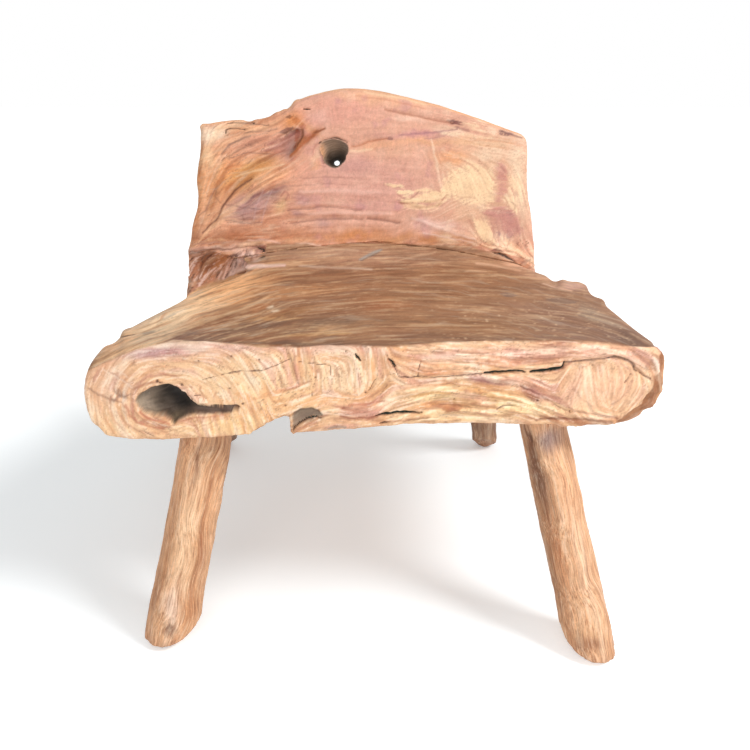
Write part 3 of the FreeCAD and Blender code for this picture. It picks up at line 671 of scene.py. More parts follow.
FRONT_STROKES = (
    ("#B4806A", 0.7, (1.1, 110, 371, 122, 380, 132, 387)),
    ("#F4D8BE", 0.55, (1.1, 104, 369, 118, 378, 132, 387), (1, 113, 367, 122, 373, 130, 379)),
    ("#8C5F4C", 0.6, (1.3, 88, 388, 98, 394, 110, 399, 122, 402)),
    ("#C08468", 0.55, (1.6, 118, 412, 126, 424, 140, 431, 156, 434), (1.3, 110, 408, 114, 420, 124, 430)),
    ("#BE7E63", 0.6, (1.5, 136, 384, 148, 377, 164, 374, 178, 378)),
    ("#C48A6C", 0.5, (1.2, 128, 378, 142, 370, 160, 366, 180, 368)),
    ("#B98266", 0.55, (1.2, 289, 352, 292, 366, 297, 378, 300, 386)),
    ("#C08A6A", 0.45, (1, 268, 352, 277, 366, 284, 380, 286, 390), (1, 312, 356, 316, 372, 315, 388)),
    ("#BC8868", 0.45, (0.9, 365, 352, 367, 366, 369, 380, 365, 393), (0.9, 346, 356, 349, 370, 346, 384)),
    ("#C28E6E", 0.4, (1, 240, 356, 250, 370, 260, 384), (0.9, 222, 358, 230, 370, 240, 382)),
    ("#B5714F", 0.65, (1.2, 282, 393, 296, 388, 310, 381)),
    ("#A9604B", 0.75, (1.6, 340, 416, 350, 419.5, 372, 418, 384, 413)),
    ("#A9604B", 0.6, (1.3, 342, 409, 352, 404.5, 370, 403, 384, 401)),
    ("#B4765C", 0.5, (1, 350, 411, 362, 412, 376, 409)),
    ("#A4664A", 0.6, (1.2, 372, 421, 400, 420, 430, 417)),
    ("#C58A62", 0.6, (1.6, 396, 392, 420, 386, 450, 384, 470, 387)),
    ("#B9805C", 0.5, (1.3, 430, 400, 456, 399, 480, 403)),
    ("#9C6A62", 0.6, (1.4, 470, 376, 482, 379, 494, 384, 510, 384)),
    ("#9A6C5F", 0.55, (1.4, 520, 386, 532, 391, 546, 400, 560, 409)),
    ("#A87A66", 0.5, (1.1, 540, 380, 548, 390, 560, 398)),
    ("#B8866E", 0.45,
        (1, 576, 372, 572, 386, 582, 400, 596, 408), (1, 606, 366, 610, 382, 606, 398),
        (0.9, 592, 370, 594, 384, 600, 392)),
    ("#B07C68", 0.5, (1.2, 632, 380, 624, 394, 612, 406)),
    ("#8E5A42", 0.75, (1.4, 536, 421, 556, 418.5, 590, 419.5, 612, 424)),
    ("#A87260", 0.5, (1.2, 560, 404, 580, 412, 606, 416, 618, 420)),
    ("#B98571", 0.45, (1.1, 440, 352, 470, 350, 498, 353), (1.1, 500, 366, 528, 363, 552, 360)),
    ("#B07A68", 0.5, (1, 556, 352, 566, 349, 580, 352, 600, 349)),
    ("#A8503C", 0.7, (1.5, 140, 412, 148, 418, 158, 420, 169, 424)),
    ("#B56A50", 0.7, (1.4, 126, 404, 129, 414, 137, 422, 150, 427, 164, 430)),
    ("#9A5F4A", 0.65, (1.6, 133, 389, 140, 385.5, 150, 383, 162, 382)),
    ("#B5694C", 0.6, (1.3, 178, 422, 192, 417.6, 210, 417, 230, 415)),
    ("#7B5346", 0.6, (1.4, 110, 396, 114, 401, 118, 396, 124, 397, 130, 394)),
    # Dark line along the top of the notch's recess: painted shadow
    ("#3F332B", 0.85, (1.1, 293, 413, 301, 409.4, 311, 408, 318, 410.4, 321, 415)),
    ("#B9795E", 0.7, (2, 297, 431, 306, 424, 316, 422)),
    ("#8D7E72", 0.75, (1.7, 328, 428, 336, 426.4, 346, 427)),
    ("#9C6A55", 0.6, (1.3, 617, 357, 628, 361, 638, 369, 652, 381)),
    ("#A9786A", 0.6, (1.5, 628, 352, 640, 356, 650, 366)),
    ("#8A5A40", 0.7, (1.6, 654, 377, 657, 386, 652, 398)),
)
FRONT_CRACKS = (
    ((484, 373, 1.4), (490, 373, 1.8), (498, 372, 1.6), (512, 370.8, 1.9), (525, 372.6, 1.1)),
    ((531, 373, 1.5), (546, 371, 2.2), (558, 369.4, 2.2), (563, 368, 1.8)),
    ((563, 368, 1.6), (565, 363, 1.3)),
    ((376, 416, 1.1), (386, 413.4, 1.7), (400, 412.2, 1.8), (414, 412.4, 1.3), (422, 413, 0.6)),
    ((389, 359, 0.7), (393, 363, 1.4), (395, 366.5, 1.1)),
    ((355.5, 355, 0.9), (357.5, 358, 1.7), (360, 361, 0.9)),
    ((294, 430, 0.9), (299, 423, 1.2), (305, 419, 1.4), (313, 417.4, 1.2), (320, 418.5, 0.8)),
    ((380, 424, 0.6), (384, 422.4, 1), (388, 421.6, 0.6)),
)
FRONT_SPLITS = (
    ((202, 380, 0.5), (220, 375, 0.8), (240, 372, 1.2), (252, 371.4, 1.3), (261, 370.6, 1)),
    ((261, 370.6, 0.9), (276, 366, 0.8), (292, 359, 0.6)),
    ((396, 377, 0.6), (420, 377.4, 0.8), (456, 376, 1), (470, 374, 1), (484, 373, 1.2)),
    ((565, 363, 1.5), (586, 360.4, 1.4), (606, 358, 1.5), (618, 356.8, 1.8), (628, 360, 1.8)),
    ((628, 360, 1.7), (634, 365, 1.8), (635, 370, 1.6), (650, 379, 1.1)),
    ((624, 382.5, 1), (631, 374, 1.4)),
    ((386, 352, 0.5), (389, 359, 0.9), (396, 371, 0.8), (399, 377, 0.9), (410, 378.2, 0.9)),
    ((410, 378.2, 0.9), (419, 376.4, 0.9), (418, 371, 0.7), (421, 365, 0.9), (422, 360, 0.5)),
    ((192, 395, 0.6), (199, 394.6, 1), (206, 399.6, 1.2)),
    ((496, 409, 0.6), (503, 405.2, 1.1), (516, 406, 0.6)), ((154, 436.5, 0.8), (144, 431, 0.5)),
    ((298, 362, 0.4), (330, 366, 0.7), (332, 384, 0.4)), ((312, 396, 0.5), (315, 378, 0.6)),
    ((368, 392, 0.6), (373, 384, 0.8), (377, 378, 0.4)),
)
FRONT_PITS = (
    (157, 381.5, 1.8), (182, 385, 2.1), (160, 383, 1.2), (229, 389, 1.2), (231, 356.5, 1.2),
    (286, 406, 1), (259, 360, 1.3), (198, 361, 1), (242, 404, 1.6), (315, 378, 0.9), (366, 393.5, 1.4),
    (346, 352, 1), (404, 351, 0.9), (454, 400, 1.1), (538, 401, 1.5), (570, 412, 1),
)

# Line between the seat's top and its front face
SEAT_EDGE = (
    (86, 372), (98, 366), (108, 362), (122, 355), (135, 350.5), (153, 345), (173, 340.5), (223, 342),
    (240, 344), (263, 347.5), (297, 347.5), (322, 345.5), (360, 346), (385, 347), (410, 345.5),
    (435, 343), (485, 341), (585, 341.5), (610, 343.7), (635, 346.5), (664, 347),
)

# Outlines of the hollow with its slot, of the recess in the notch and of the chipped right end
HOLLOW_OUTLINE = (
    (134.6, 401), (137, 396), (142, 392), (147, 389.5), (155, 386.6), (166, 385.2), (173, 386),
    (179, 388.2), (182.4, 391), (186.4, 393.4), (189, 397.6), (193, 401.8), (197, 405), (203, 405.8),
    (210, 405.4), (217, 405), (226, 405.2), (236, 405), (241, 407.2), (237, 411), (230, 413.8),
    (220, 415.4), (211, 415), (203, 415), (194, 414.8), (187, 416.8), (179, 420), (173, 426),
    (171.5, 424), (170, 420.5), (163, 417.5), (154, 416), (148, 414.5), (142, 412), (138, 408),
)
RECESS_OUTLINE = (
    (292, 415), (295, 412.4), (301, 409.8), (311, 408.4), (318, 410.8), (321, 415.4), (318, 418),
    (313, 416.2), (304, 420), (297, 426), (292, 431),
)
END_OUTLINE = (
    (651.5, 388), (646, 395), (642, 405), (630, 412), (616, 423), (612, 440), (680, 440), (680, 340),
    (661, 344), (659, 356), (660, 372), (655, 377),
)
# The hollow's grey-tan wood with painted shade: near-black where it is deepest and a dark line under the
# slot's top edge
HOLLOW_SPOTS_AND_SHADE = (
    (140, 402, 12, 12, 0, "#A08D77", 0.9), (153, 400, 11, 14, 20, "#9A8876", 0.9),
    (174, 394, 15, 12, 24, "#1F1B19", 0.97), (186, 402, 11, 7, 38, "#241F1C", 0.9),
    (164, 404, 8, 12, 20, "#6A5C50", 0.6), (156, 413, 14, 5, 10, "#97846F", 0.9),
    (175, 417, 10, 6, -30, "#75644F", 0.9), (204, 411, 16, 5, 0, "#705B4E", 0.95),
    (224, 410, 16, 6, 0, "#6B5347", 0.95), (212, 406, 22, 1.5, 0, "#4E4036", 0.8),
    (237, 408, 2.6, 5, 0, "#7A5238", 0.8),
)
FRONT_RIDGES = (
    (1.9, 190, 393, 197, 401, 207, 404), (1.8, 136, 411, 142, 417, 156, 421, 168, 425),
    (2.3, 480, 366, 520, 365, 560, 361), (2.3, 470, 381, 500, 387, 540, 396),
    (2.4, 400, 394, 440, 390, 480, 393), (2.3, 440, 412, 480, 409, 530, 412),
    (2.3, 346, 406, 362, 407, 380, 405), (1.9, 294, 432, 304, 422, 314, 418),
    (2.2, 570, 356, 600, 353, 624, 354),
)
FRONT_GROOVES = (
    (1.7, 340, 418, 352, 420, 376, 417), (2.1, 400, 388, 424, 384, 456, 381),
    (1.9, 430, 406, 452, 405, 470, 408), (1.8, 522, 387, 540, 395, 562, 409),
    (1.7, 540, 420, 580, 418, 612, 423), (1.7, 564, 410, 590, 414, 616, 419),
    (1.6, 288, 354, 292, 368, 298, 384), (2.1, 112, 391, 122, 398, 132, 400),
)

# The hollow: its part of the photograph, its depths, and how far back it and the plain face reach
HOLLOW_BOX = ((112, 368), (345, 440))
HOLLOW_DEPTH = 0.043
SLOT_DEPTH = 0.009
DEEPEST = -0.2245
PLAIN_FACE = -0.262

# Small moves of the seat's outline
SEAT_MOVES = (
    (554, 280, 7, 0, 4.5), (591, 292, 6, -2.5, 2), (602, 301, 5, 2, -2), (570, 279, 6, 0, 1.5),
    (114, 341, 8, 2.6, 2.6), (126, 331, 5, -1.2, -1.2), (657, 397, 7, -2.5, 0), (645, 411, 6, -1.5, -2),
    (657, 349, 6, -2, 1), (663, 362, 6, 1, 0), (98, 429, 7, 2, -1),
)


def carve_front(points, normals, sway):
    """Carves the hollow, its slot and the notch's recess as depths behind the front face."""
    px = pixels(points)
    box = np.all((px > HOLLOW_BOX[0]) & (px < HOLLOW_BOX[1]), axis=1)
    box &= (points[:, 1] < DEEPEST) & (normals[:, 1] < 0.3)
    across, up = points[:, 0] / 0.1 + 2.6, points[:, 2] / 0.05 - 7.6
    terms = np.stack([across ** i * up ** j for i in range(5) for j in range(4)], axis=1)
    flat = box & (points[:, 1] < PLAIN_FACE) & (inside_of(px, HOLLOW_OUTLINE) < -9) & (normals[:, 1] < -0.7)
    fit = np.linalg.lstsq(terms[flat], points[flat, 1], rcond=None)[0]
    face = points.copy()
    face[box, 1] = terms[box] @ fit
    face_px = pixels(face) + sway
    reach = inside_of(face_px, HOLLOW_OUTLINE)
    bowl = SLOT_DEPTH + (HOLLOW_DEPTH - SLOT_DEPTH) * blob(face_px, 172, 400, 22, 18)
    depth = smooth(reach, -0.4, 2.2) * bowl
    carved = points.copy()
    hold = box * smooth(reach, -9, -6)
    carved[:, 1] += (face[:, 1] + depth - points[:, 1]) * hold
    notch = smooth(inside_of(px + sway, RECESS_OUTLINE), -0.4, 1.6) * (points[:, 1] < -0.25)
    carved[:, 1] += notch * SLOT_DEPTH * 0.6
    normals = normals + ((0, -1, 0) - normals) * hold[:, None]
    return carved, normals, box * smooth(reach, -0.3, 1.2), notch


def top_colour(px, points, noise, sway):
    """Colours of the seat's worn top at points seen in the photograph."""
    ragged = TOP_GRAIN.draw(px, 1, 2.2, 16)
    broad = TOP_GRAIN.draw(px, 2, 4.6, 46, 10)
    warped = px + sway * (5, 3)
    colour = mottle(warped, ragged, paint(warped, "#986A49", TOP_SPOTS), TOP_PATCHES)
    left = 1 - smooth(px[:, 0], 240, 340)
    thin = TOP_GRAIN.draw(px, 21, 1.1, 13, 11)
    colour = vary(colour, broad, "#C89A6E", "#6E4A35", 0.16 + 0.1 * left)
    colour = vary(colour, ragged, "#D9AE84", "#6E4C36", 0.14 + 0.14 * left)
    colour = vary(colour, thin, "#EBC59C", "#553726", 0.28 + 0.12 * left)
    dots = Scatter(18, 1.9)(px * (0.8, 1.0))
    worn = smooth(px[:, 0], 400, 470) * smooth(px[:, 1], 296, 312)
    colour = lay(colour, "#DDB792", smooth(dots, 0.9, 1.9) * (0.12 + 0.5 * worn))
    colour = lay(colour, "#5E3F2D", smooth(-dots, 1.3, 2.4) * 0.35)
    patch = smooth(noise(points * 16, 3), -0.1, 0.5)
    colour = lay(colour, "#7A5339", patch * smooth(px[:, 0], 330, 420) * 0.3)
    return streak(px + sway * 0.8, colour, TOP_STROKES + LEDGE_STROKES)


def face_colour(px, points, noise, sway, close):
    """Colours of the front face."""
    x, y = px.T
    warped = px + sway * (5, 3)
    fine = FRONT_GRAIN.draw(px, 3, 1.2, 7)
    coarse = FRONT_GRAIN.draw(px, 4, 2.4, 16, 8)
    middle = FRONT_GRAIN.draw(px, 12, 5.4, 24, 8)
    other = FRONT_GRAIN.draw(px, 13, 4.4, 18, 8)
    speck = Scatter(5, 1.3)(px)
    ragged = fine * 0.6 + coarse * 0.7 + speck * 0.3
    face = mottle(warped, ragged, paint(warped, "#E8BA90", FRONT_SPOTS), FRONT_PATCHES)
    calm = 1 - 0.8 * blob(px, 603, 388, 42, 28) - 0.25 * smooth(-x, -260, -220)
    face = vary(face, middle, "#FBE8CE", "#CC845C", 0.42 * calm)
    face = lay(face, "#D2958C", smooth(other, 0.4, 1.8) * 0.42 * calm)
    face = lay(face, "#E9A66C", smooth(-other, 0.8, 2.0) * 0.4 * calm)
    face = vary(face, fine, "#FFF0DC", "#B4745A", 0.34 * (0.4 + 0.6 * calm))
    face = streak(close, face, FRONT_STROKES)
    ring = np.sqrt(((x - 166) / 1.55) ** 2 + (y - 402) ** 2) + noise(points * 30, 3) * 5
    near_hollow = smooth(-ring, -46, -26) * smooth(noise(points * 45, 2), -0.3, 0.25)
    turn = np.abs((ring / 4.4) % 1 - 0.5)
    face = lay(face, "#B06F52", smooth(-turn, -0.2, -0.04) * near_hollow * 0.55)
    torn = smooth(noise(points * 60 + 3, 2), -0.15, 0.3)
    face = lay(face, "#7E5746", hair(middle, 0.12) * torn * (0.25 + 0.35 * calm))
    face = lay(face, "#9A654C", hair(coarse, 0.18) * smooth(other, -0.6, 0.6) * 0.55 * calm)
    still = 0.1 + 0.9 * calm
    fine, coarse = fine * (0.4 + 0.6 * still), coarse * still
    face = weather(face, fine, coarse, 0.5 + 0.5 * smooth(x, 370, 430))
    return face * (1 + np.clip(speck, -2, 2) * 0.02)[:, None], fine, coarse, middle * still


def seat_front(centre, normal):
    """Which faces belong to the seat's front."""
    return (normal[:, 1] < -0.4) & (centre[:, 1] < -0.2) & (centre[:, 2] > FRONT_FROM)


def seat_shown(centre, normal):
    """Which faces belong to the seat's front or top."""
    return seat_front(centre, normal) | (normal[:, 2] > 0.5) & (centre[:, 2] > TOP_FROM)


def build_seat(material):
    """The seat slab with its worn top and its weathered front."""
    mesh = even_mesh("seat_slab", SEAT_VOXEL, (seat_shown, seat_front))
    points, normals = read(mesh, "co"), read(mesh, "normal")
    noise = Noise(11)
    points = nudge(points, SEAT_MOVES)
    px = pixels(points)
    sway, jitter = shake(points, px, noise, 22, 14)
    wobble = (sway * 0.8 + jitter * 0.35) * (1 - 0.75 * blob(px, 216, 409, 24, 12))[:, None]
    points, normals, hollow, notch = carve_front(points, normals, wobble)
    px = pixels(points)
    x, y = px.T
    close = px + sway * (1.2, 0.9) + jitter * 0.35

    seen = smooth(np.maximum(normals[:, 2], -normals[:, 1]), 0.25, 0.5)
    seen = seen * smooth(points[:, 2], FRONT_FROM - 0.01, FRONT_FROM + 0.01)
    above = smooth(above_line(px + sway, SEAT_EDGE), -1.2, 1.2) * smooth(normals[:, 2], -0.2, 0.2)
    top, front = seen * above, seen * (1 - above) * smooth(-points[:, 1], 0.17, 0.2)
    rest = 1 - top - front
    inner = noise(points / (0.07, 0.005, 0.005), 3)

    broken = smooth(noise(points * 80, 2), -0.55, -0.2)
    cracks = near_lines(close, FRONT_CRACKS, 0.8) * front
    splits = near_lines(close, FRONT_SPLITS, 0.85) * front * (0.45 + 0.55 * broken)
    pits = np.max([blob(close, *pit, pit[2] * 0.8) for pit in FRONT_PITS], axis=0) * front
    top_cracks = near_lines(px, TOP_CRACKS) * top
    # The seat's cracks, splits and pits make one mark, by which the material paints shade in them
    crack = np.maximum.reduce((cracks, splits * 0.66, pits * 0.75, top_cracks * 0.8)) * (1 - hollow)

    face, fine, coarse, middle = face_colour(px, points, noise, sway, close)
    sides = plain_colour(points, noise, "#CB946B", inner)
    # The chipped right end's side facet is painted brown: its bark colour with painted shade of a face
    # turned from the light
    end = smooth(inside_of(close, END_OUTLINE), -1, 1.5) * front
    face = lay(face, "#94603F", 0.8 * end * (1 + 0.2 * coarse))
    worn = top_colour(px, points, noise, sway)
    tint = face * front[:, None] + worn * top[:, None] + sides * rest[:, None]

    # Inside the hollow: its grey-tan wood with painted shade, near-black where it is deepest
    inside = paint(close, "#6E6055", HOLLOW_SPOTS_AND_SHADE)
    brush = noise(points @ np.array(((40, 0, 30), (0, 12, 0), (160, 0, -160))), 2)
    inside = inside * (1 + 0.22 * np.clip(brush * 1.6, -1, 1))[:, None]
    tint = blend(tint, inside, hollow)
    # The notch's recess is painted grey-brown as shade, and the face set back low down to its right gets
    # painted shade too
    tint = lay(tint, "#857363", notch * front * 0.85)
    recess_shade = smooth(points[:, 1], -0.2705, -0.2625) * (1 - hollow) * front * smooth(x, 280, 290)
    tint = lay(tint, "#6A5040", recess_shade * smooth(y, 400, 410) * smooth(-x, -470, -440) * 0.6)

    relief = 0.00042 * coarse + 0.00016 * fine + 0.0016 * noise(points * 24, 3) + 0.0004 * middle
    relief += smooth(x, 380, 460) * (0.0005 * coarse + 0.0016 * noise(points * (14, 40, 40), 2))
    relief -= 0.0065 * cracks + 0.0014 * splits + 0.003 * pits + 0.0025 * end
    relief += 0.0026 * near_tapers(close, FRONT_RIDGES) - 0.0028 * near_tapers(close, FRONT_GROOVES)
    relief += 0.0035 * blob(px, 362, 411, 20, 6, -4) + end * 0.0022 * noise(points * 60, 2)
    relief += 0.0008 * notch * noise(points * 120, 2)
    depth = relief * front * (1 - hollow)
    depth += top * (0.0012 * noise(points * 9, 2) - 0.0016 * top_cracks)
    depth += top * 0.0016 * near_line(px, ((231, 271, 2), (242, 266, 3), (262, 265, 2.4)))
    depth += rest * (0.0018 * noise(points * 18, 4) + 0.0007 * inner) + hollow * 0.0007 * brush

    run = y - (x - 390) ** 2 / 1200 + noise(points * 7, 3) * 5
    drift = px @ np.array((0.35, 1.0)) + noise(points * 20, 3) * 6
    flow = (x / FLOW_PX, y / FLOW_PX, np.where(top > 0.5, run, drift) / 8)
    marks = (crack, 0.12 + top * (0.4 + 0.4 * smooth(-x, -330, -240)) + 0.2 * rest, 0.12 * front)
    places = points + normals * depth[:, None]
    finish_piece("seat_slab", mesh, places, flow, tint, marks, material)


# Back, with its marks in photograph pixels

BACK_GRAIN = Grain((
    (202, 140, -84), (204, 165, -80), (203, 190, -78), (198, 215, -76), (193, 236, -74), (214, 148, -48),
    (216, 170, -66), (214, 200, -66), (208, 222, -60), (228, 160, -44), (226, 182, -56), (240, 142, -24),
    (232, 130, -10), (256, 130, -8), (262, 142, -18), (250, 158, -30), (244, 176, -36), (270, 160, -14),
    (284, 142, -34), (292, 134, -24), (292, 148, -58), (306, 140, -52), (318, 132, -38), (296, 118, -40),
    (304, 124, -58), (312, 112, -24), (280, 172, -28), (262, 186, -34), (236, 206, -30), (250, 198, -46),
    (276, 194, -6), (254, 216, 8), (228, 222, 10), (218, 236, 4), (250, 236, 2), (300, 164, -36),
    (330, 110, -12), (340, 128, 14), (316, 152, 82), (330, 176, 2), (352, 150, 0), (300, 196, 4),
    (320, 205, 0), (350, 200, 2), (310, 220, -2), (340, 232, -4), (370, 224, 4), (360, 180, 4),
    (380, 100, 6), (380, 140, -12), (400, 112, 12), (430, 118, 12), (420, 134, -2), (450, 128, 6),
    (480, 126, 10), (505, 134, 16), (490, 143, 4), (512, 150, 6), (400, 160, 4), (390, 185, 10),
    (432, 150, 78), (440, 178, 80), (452, 158, 8), (470, 160, 30), (458, 184, 76), (476, 182, 70),
    (488, 175, 60), (498, 180, -8), (514, 170, 70), (518, 196, 78), (412, 190, -10), (420, 204, 8),
    (440, 212, -34), (410, 216, -40), (430, 226, 10), (462, 206, -24), (478, 220, 70), (492, 214, -6),
    (500, 236, 80), (508, 224, -20), (522, 226, 74), (450, 238, 6), (420, 240, -14), (498, 250, 6),
    (196, 247, 0), (230, 245, 2), (200, 268, -66), (214, 262, -30), (226, 270, -72), (240, 262, -78),
    (252, 258, -84), (212, 280, -58),
), 8)
BACK_SPOTS = (
    (240, 175, 56, 66, 25, "#DFA171", 0.9), (198, 170, 8, 34, 4, "#CF8A56", 0.8),
    (193, 222, 8, 30, 6, "#C8875A", 0.8), (213, 135, 15, 10, 0, "ivory", 0.95),
    (206, 156, 8, 12, 0, "#F2CBA0", 0.7), (246, 146, 30, 13, -22, "#D69A80", 0.85),
    (238, 128, 22, 4, 0, "#E4AE84", 0.6),
    (226, 176, 14, 24, 30, "#D98F58", 0.75), (255, 166, 30, 7, -24, "#D9A05F", 0.9),
    (240, 184, 18, 6, -42, "#D39657", 0.8),
    (212, 208, 10, 26, 18, "#DDA177", 0.7),
    (283, 146, 20, 14, -25, "#B58074", 0.9),
    (291, 147, 8, 9, -20, "#9E8478", 0.75), (297, 121, 19, 9, -12, "#D8873F", 0.85),
    (314, 127, 10, 6, 20, "#E6A972", 0.7),
    (300, 146, 5, 15, 30, "#B4662F", 0.85), (314, 134, 11, 4, -36, "#B3652F", 0.8),
    (283, 178, 12, 7, -20, "#E59A6A", 0.85),
    (306, 168, 22, 14, -36, "#DF9F84", 0.7),
    (340, 112, 40, 16, -6, "#E2A08A", 0.8),
    (318, 120, 12, 8, 0, "#D9A094", 0.6),
    (372, 98, 44, 6, 8, "#F0B48C", 0.8),
    (395, 96, 34, 5, 14, "#EBB48C", 0.7),
    (405, 117, 14, 3.5, 10, "#EFC0A6", 0.8),
    (250, 205, 30, 17, -22, "#AC8482", 0.85), (272, 192, 18, 5, -10, "plum", 0.65),
    (281, 207, 6, 8, 0, "#F0C493", 0.75), (304, 200, 8, 5, 0, "#B98F8E", 0.6),
    (300, 214, 7, 4, 0, "#B98F8E", 0.6), (328, 223, 8, 4, 0, "#B8908A", 0.55),
    (318, 153, 6, 11, 8, "#F8CBA0", 0.95), (370, 186, 70, 28, 0, "#DCA290", 0.75),
    (348, 164, 28, 10, 4, "#D39A92", 0.5),
    (400, 150, 32, 10, 0, "#E3AA88", 0.6),
    (376, 144, 24, 5, -12, "#E9A880", 0.7),
    (420, 134, 40, 3.5, -2, "#CF8F86", 0.8),
    (430, 141, 34, 4, 2, "#EDAE80", 0.7), (488, 188, 46, 62, 0, "#E6B994", 0.9),
    (484, 142, 36, 5, 3, "#E6B286", 0.7),
    (451, 159, 16, 10, 4, "#EAA674", 0.9), (436, 226, 24, 6, 10, "#E9BFAE", 0.7),
    (420, 212, 26, 9, -26, "#E2AE92", 0.6),
    (500, 222, 20, 13, 0, "#CB8F7D", 0.8), (500, 182, 7, 18, -6, "#DFA188", 0.6),
    (520, 180, 8, 46, -3, "#EFCDA9", 0.85), (482, 230, 8, 12, -10, "#F3CFA4", 0.8),
    (500, 240, 12, 11, 0, "#EBC3A6", 0.7), (228, 240, 44, 8, 0, "#AC6A44", 0.85),
    (300, 236, 40, 7, 0, "#C5835A", 0.8), (360, 236, 34, 8, 0, "#CF8448", 0.8),
    (396, 240, 22, 5, -14, "#C48450", 0.7), (442, 240, 34, 5.5, 6, "#C27E48", 0.85),
    (218, 249, 30, 3.2, 2, "#D9B5A4", 0.7),
    (196, 252, 8, 4, 0, "#DDB8A6", 0.8),
    (206, 268, 15, 18, 24, "#B4764E", 0.9),
    (221, 261, 12, 6, -20, "#DD9158", 0.9), (244, 262, 16, 11, -30, "#DDB8A8", 0.95),
    (260, 248, 7, 5, 0, "#7C5550", 0.8), (516, 264, 18, 8, 10, "#EDC0A2", 0.8),
)
BACK_PATCHES = (
    (472, 182, 20, 12, -14, "#EFCBA0", 0.8), (486, 176, 10, 9, 30, "#EFCBA0", 0.8),
    (456, 184, 9, 10, 10, "#EDC69A", 0.7), (404, 191, 15, 4.5, 12, "#F8D9AE", 0.9),
    (416, 200, 17, 5, 8, "#F8D9AE", 0.9), (440, 193, 22, 6, -10, "#F5D0A4", 0.75),
    (502, 176, 5, 12, -16, "#D9927F", 0.75), (508, 188, 6, 7, 20, "#DA9A86", 0.6),
    (500, 210, 16, 7, 12, "#C98A7E", 0.75),
    (488, 204, 12, 4, -20, "#DDA38A", 0.7),
    (514, 226, 9, 4, 24, "#C98A7C", 0.7),
    (508, 218, 3, 8, -14, "#A8706C", 0.7), (500, 232, 2, 7, -10, "#8F6070", 0.6),
    # The spot at (499, 253) is painted shade in the small pocket where the back meets the seat
    (508, 232, 2, 6, 8, "#9A6874", 0.6), (499, 253, 10, 3, 14, "#7A5040", 0.9),
    (525, 262, 8, 4, 40, "#C98A62", 0.7), (458, 122, 8, 6, 10, "#7A4A40", 0.8),
    (512, 196, 10, 7, 10, "#F7D8AE", 0.75), (518, 210, 6, 8, 0, "#F5D3AA", 0.7),
    (474, 126, 12, 4, 14, "#E9C29B", 0.7), (456, 121, 7, 4.5, 24, "#7E4C44", 0.9),
    (463, 128, 8, 2.6, 20, "#A87264", 0.7), (504, 134, 6, 2.6, 10, "#75504A", 0.85),
    (470, 134, 26, 2.4, 3, "#F3CCA2", 0.6), (292, 117, 5, 2, 0, "#7F5236", 0.8),
    (300, 124, 10, 4, 50, "#B8662F", 0.6), (283, 132, 7, 2.2, -8, "#7A5148", 0.8),
    (289, 133.5, 10, 3.4, -8, "#855646", 0.85), (295, 140, 3, 8, 20, "#A0512C", 0.7),
    (276, 140, 12, 2, -20, "#A06A5E", 0.6), (272, 148, 14, 2, -16, "#A87064", 0.5),
    (265, 192, 20, 3, -8, "#8A6468", 0.55), (386, 137, 3, 1.6, 0, "#8C5C54", 0.7),
    (318, 162, 5, 6, 30, "#E7A884", 0.7),
    (378, 206, 40, 6, 0, "#D3998C", 0.4),
    (204, 176, 3, 18, 10, "#B9703E", 0.5), (216, 188, 3, 20, 24, "#B9703E", 0.5),
    (208, 262, 5, 12, 34, "#6E4432", 0.7),
    (232, 268, 3, 9, 24, "#D0AC9C", 0.6),
    (243, 262, 3, 9, 16, "#C9A597", 0.7),
    (252, 258, 2.6, 8, 10, "#D2AD9E", 0.6),
)
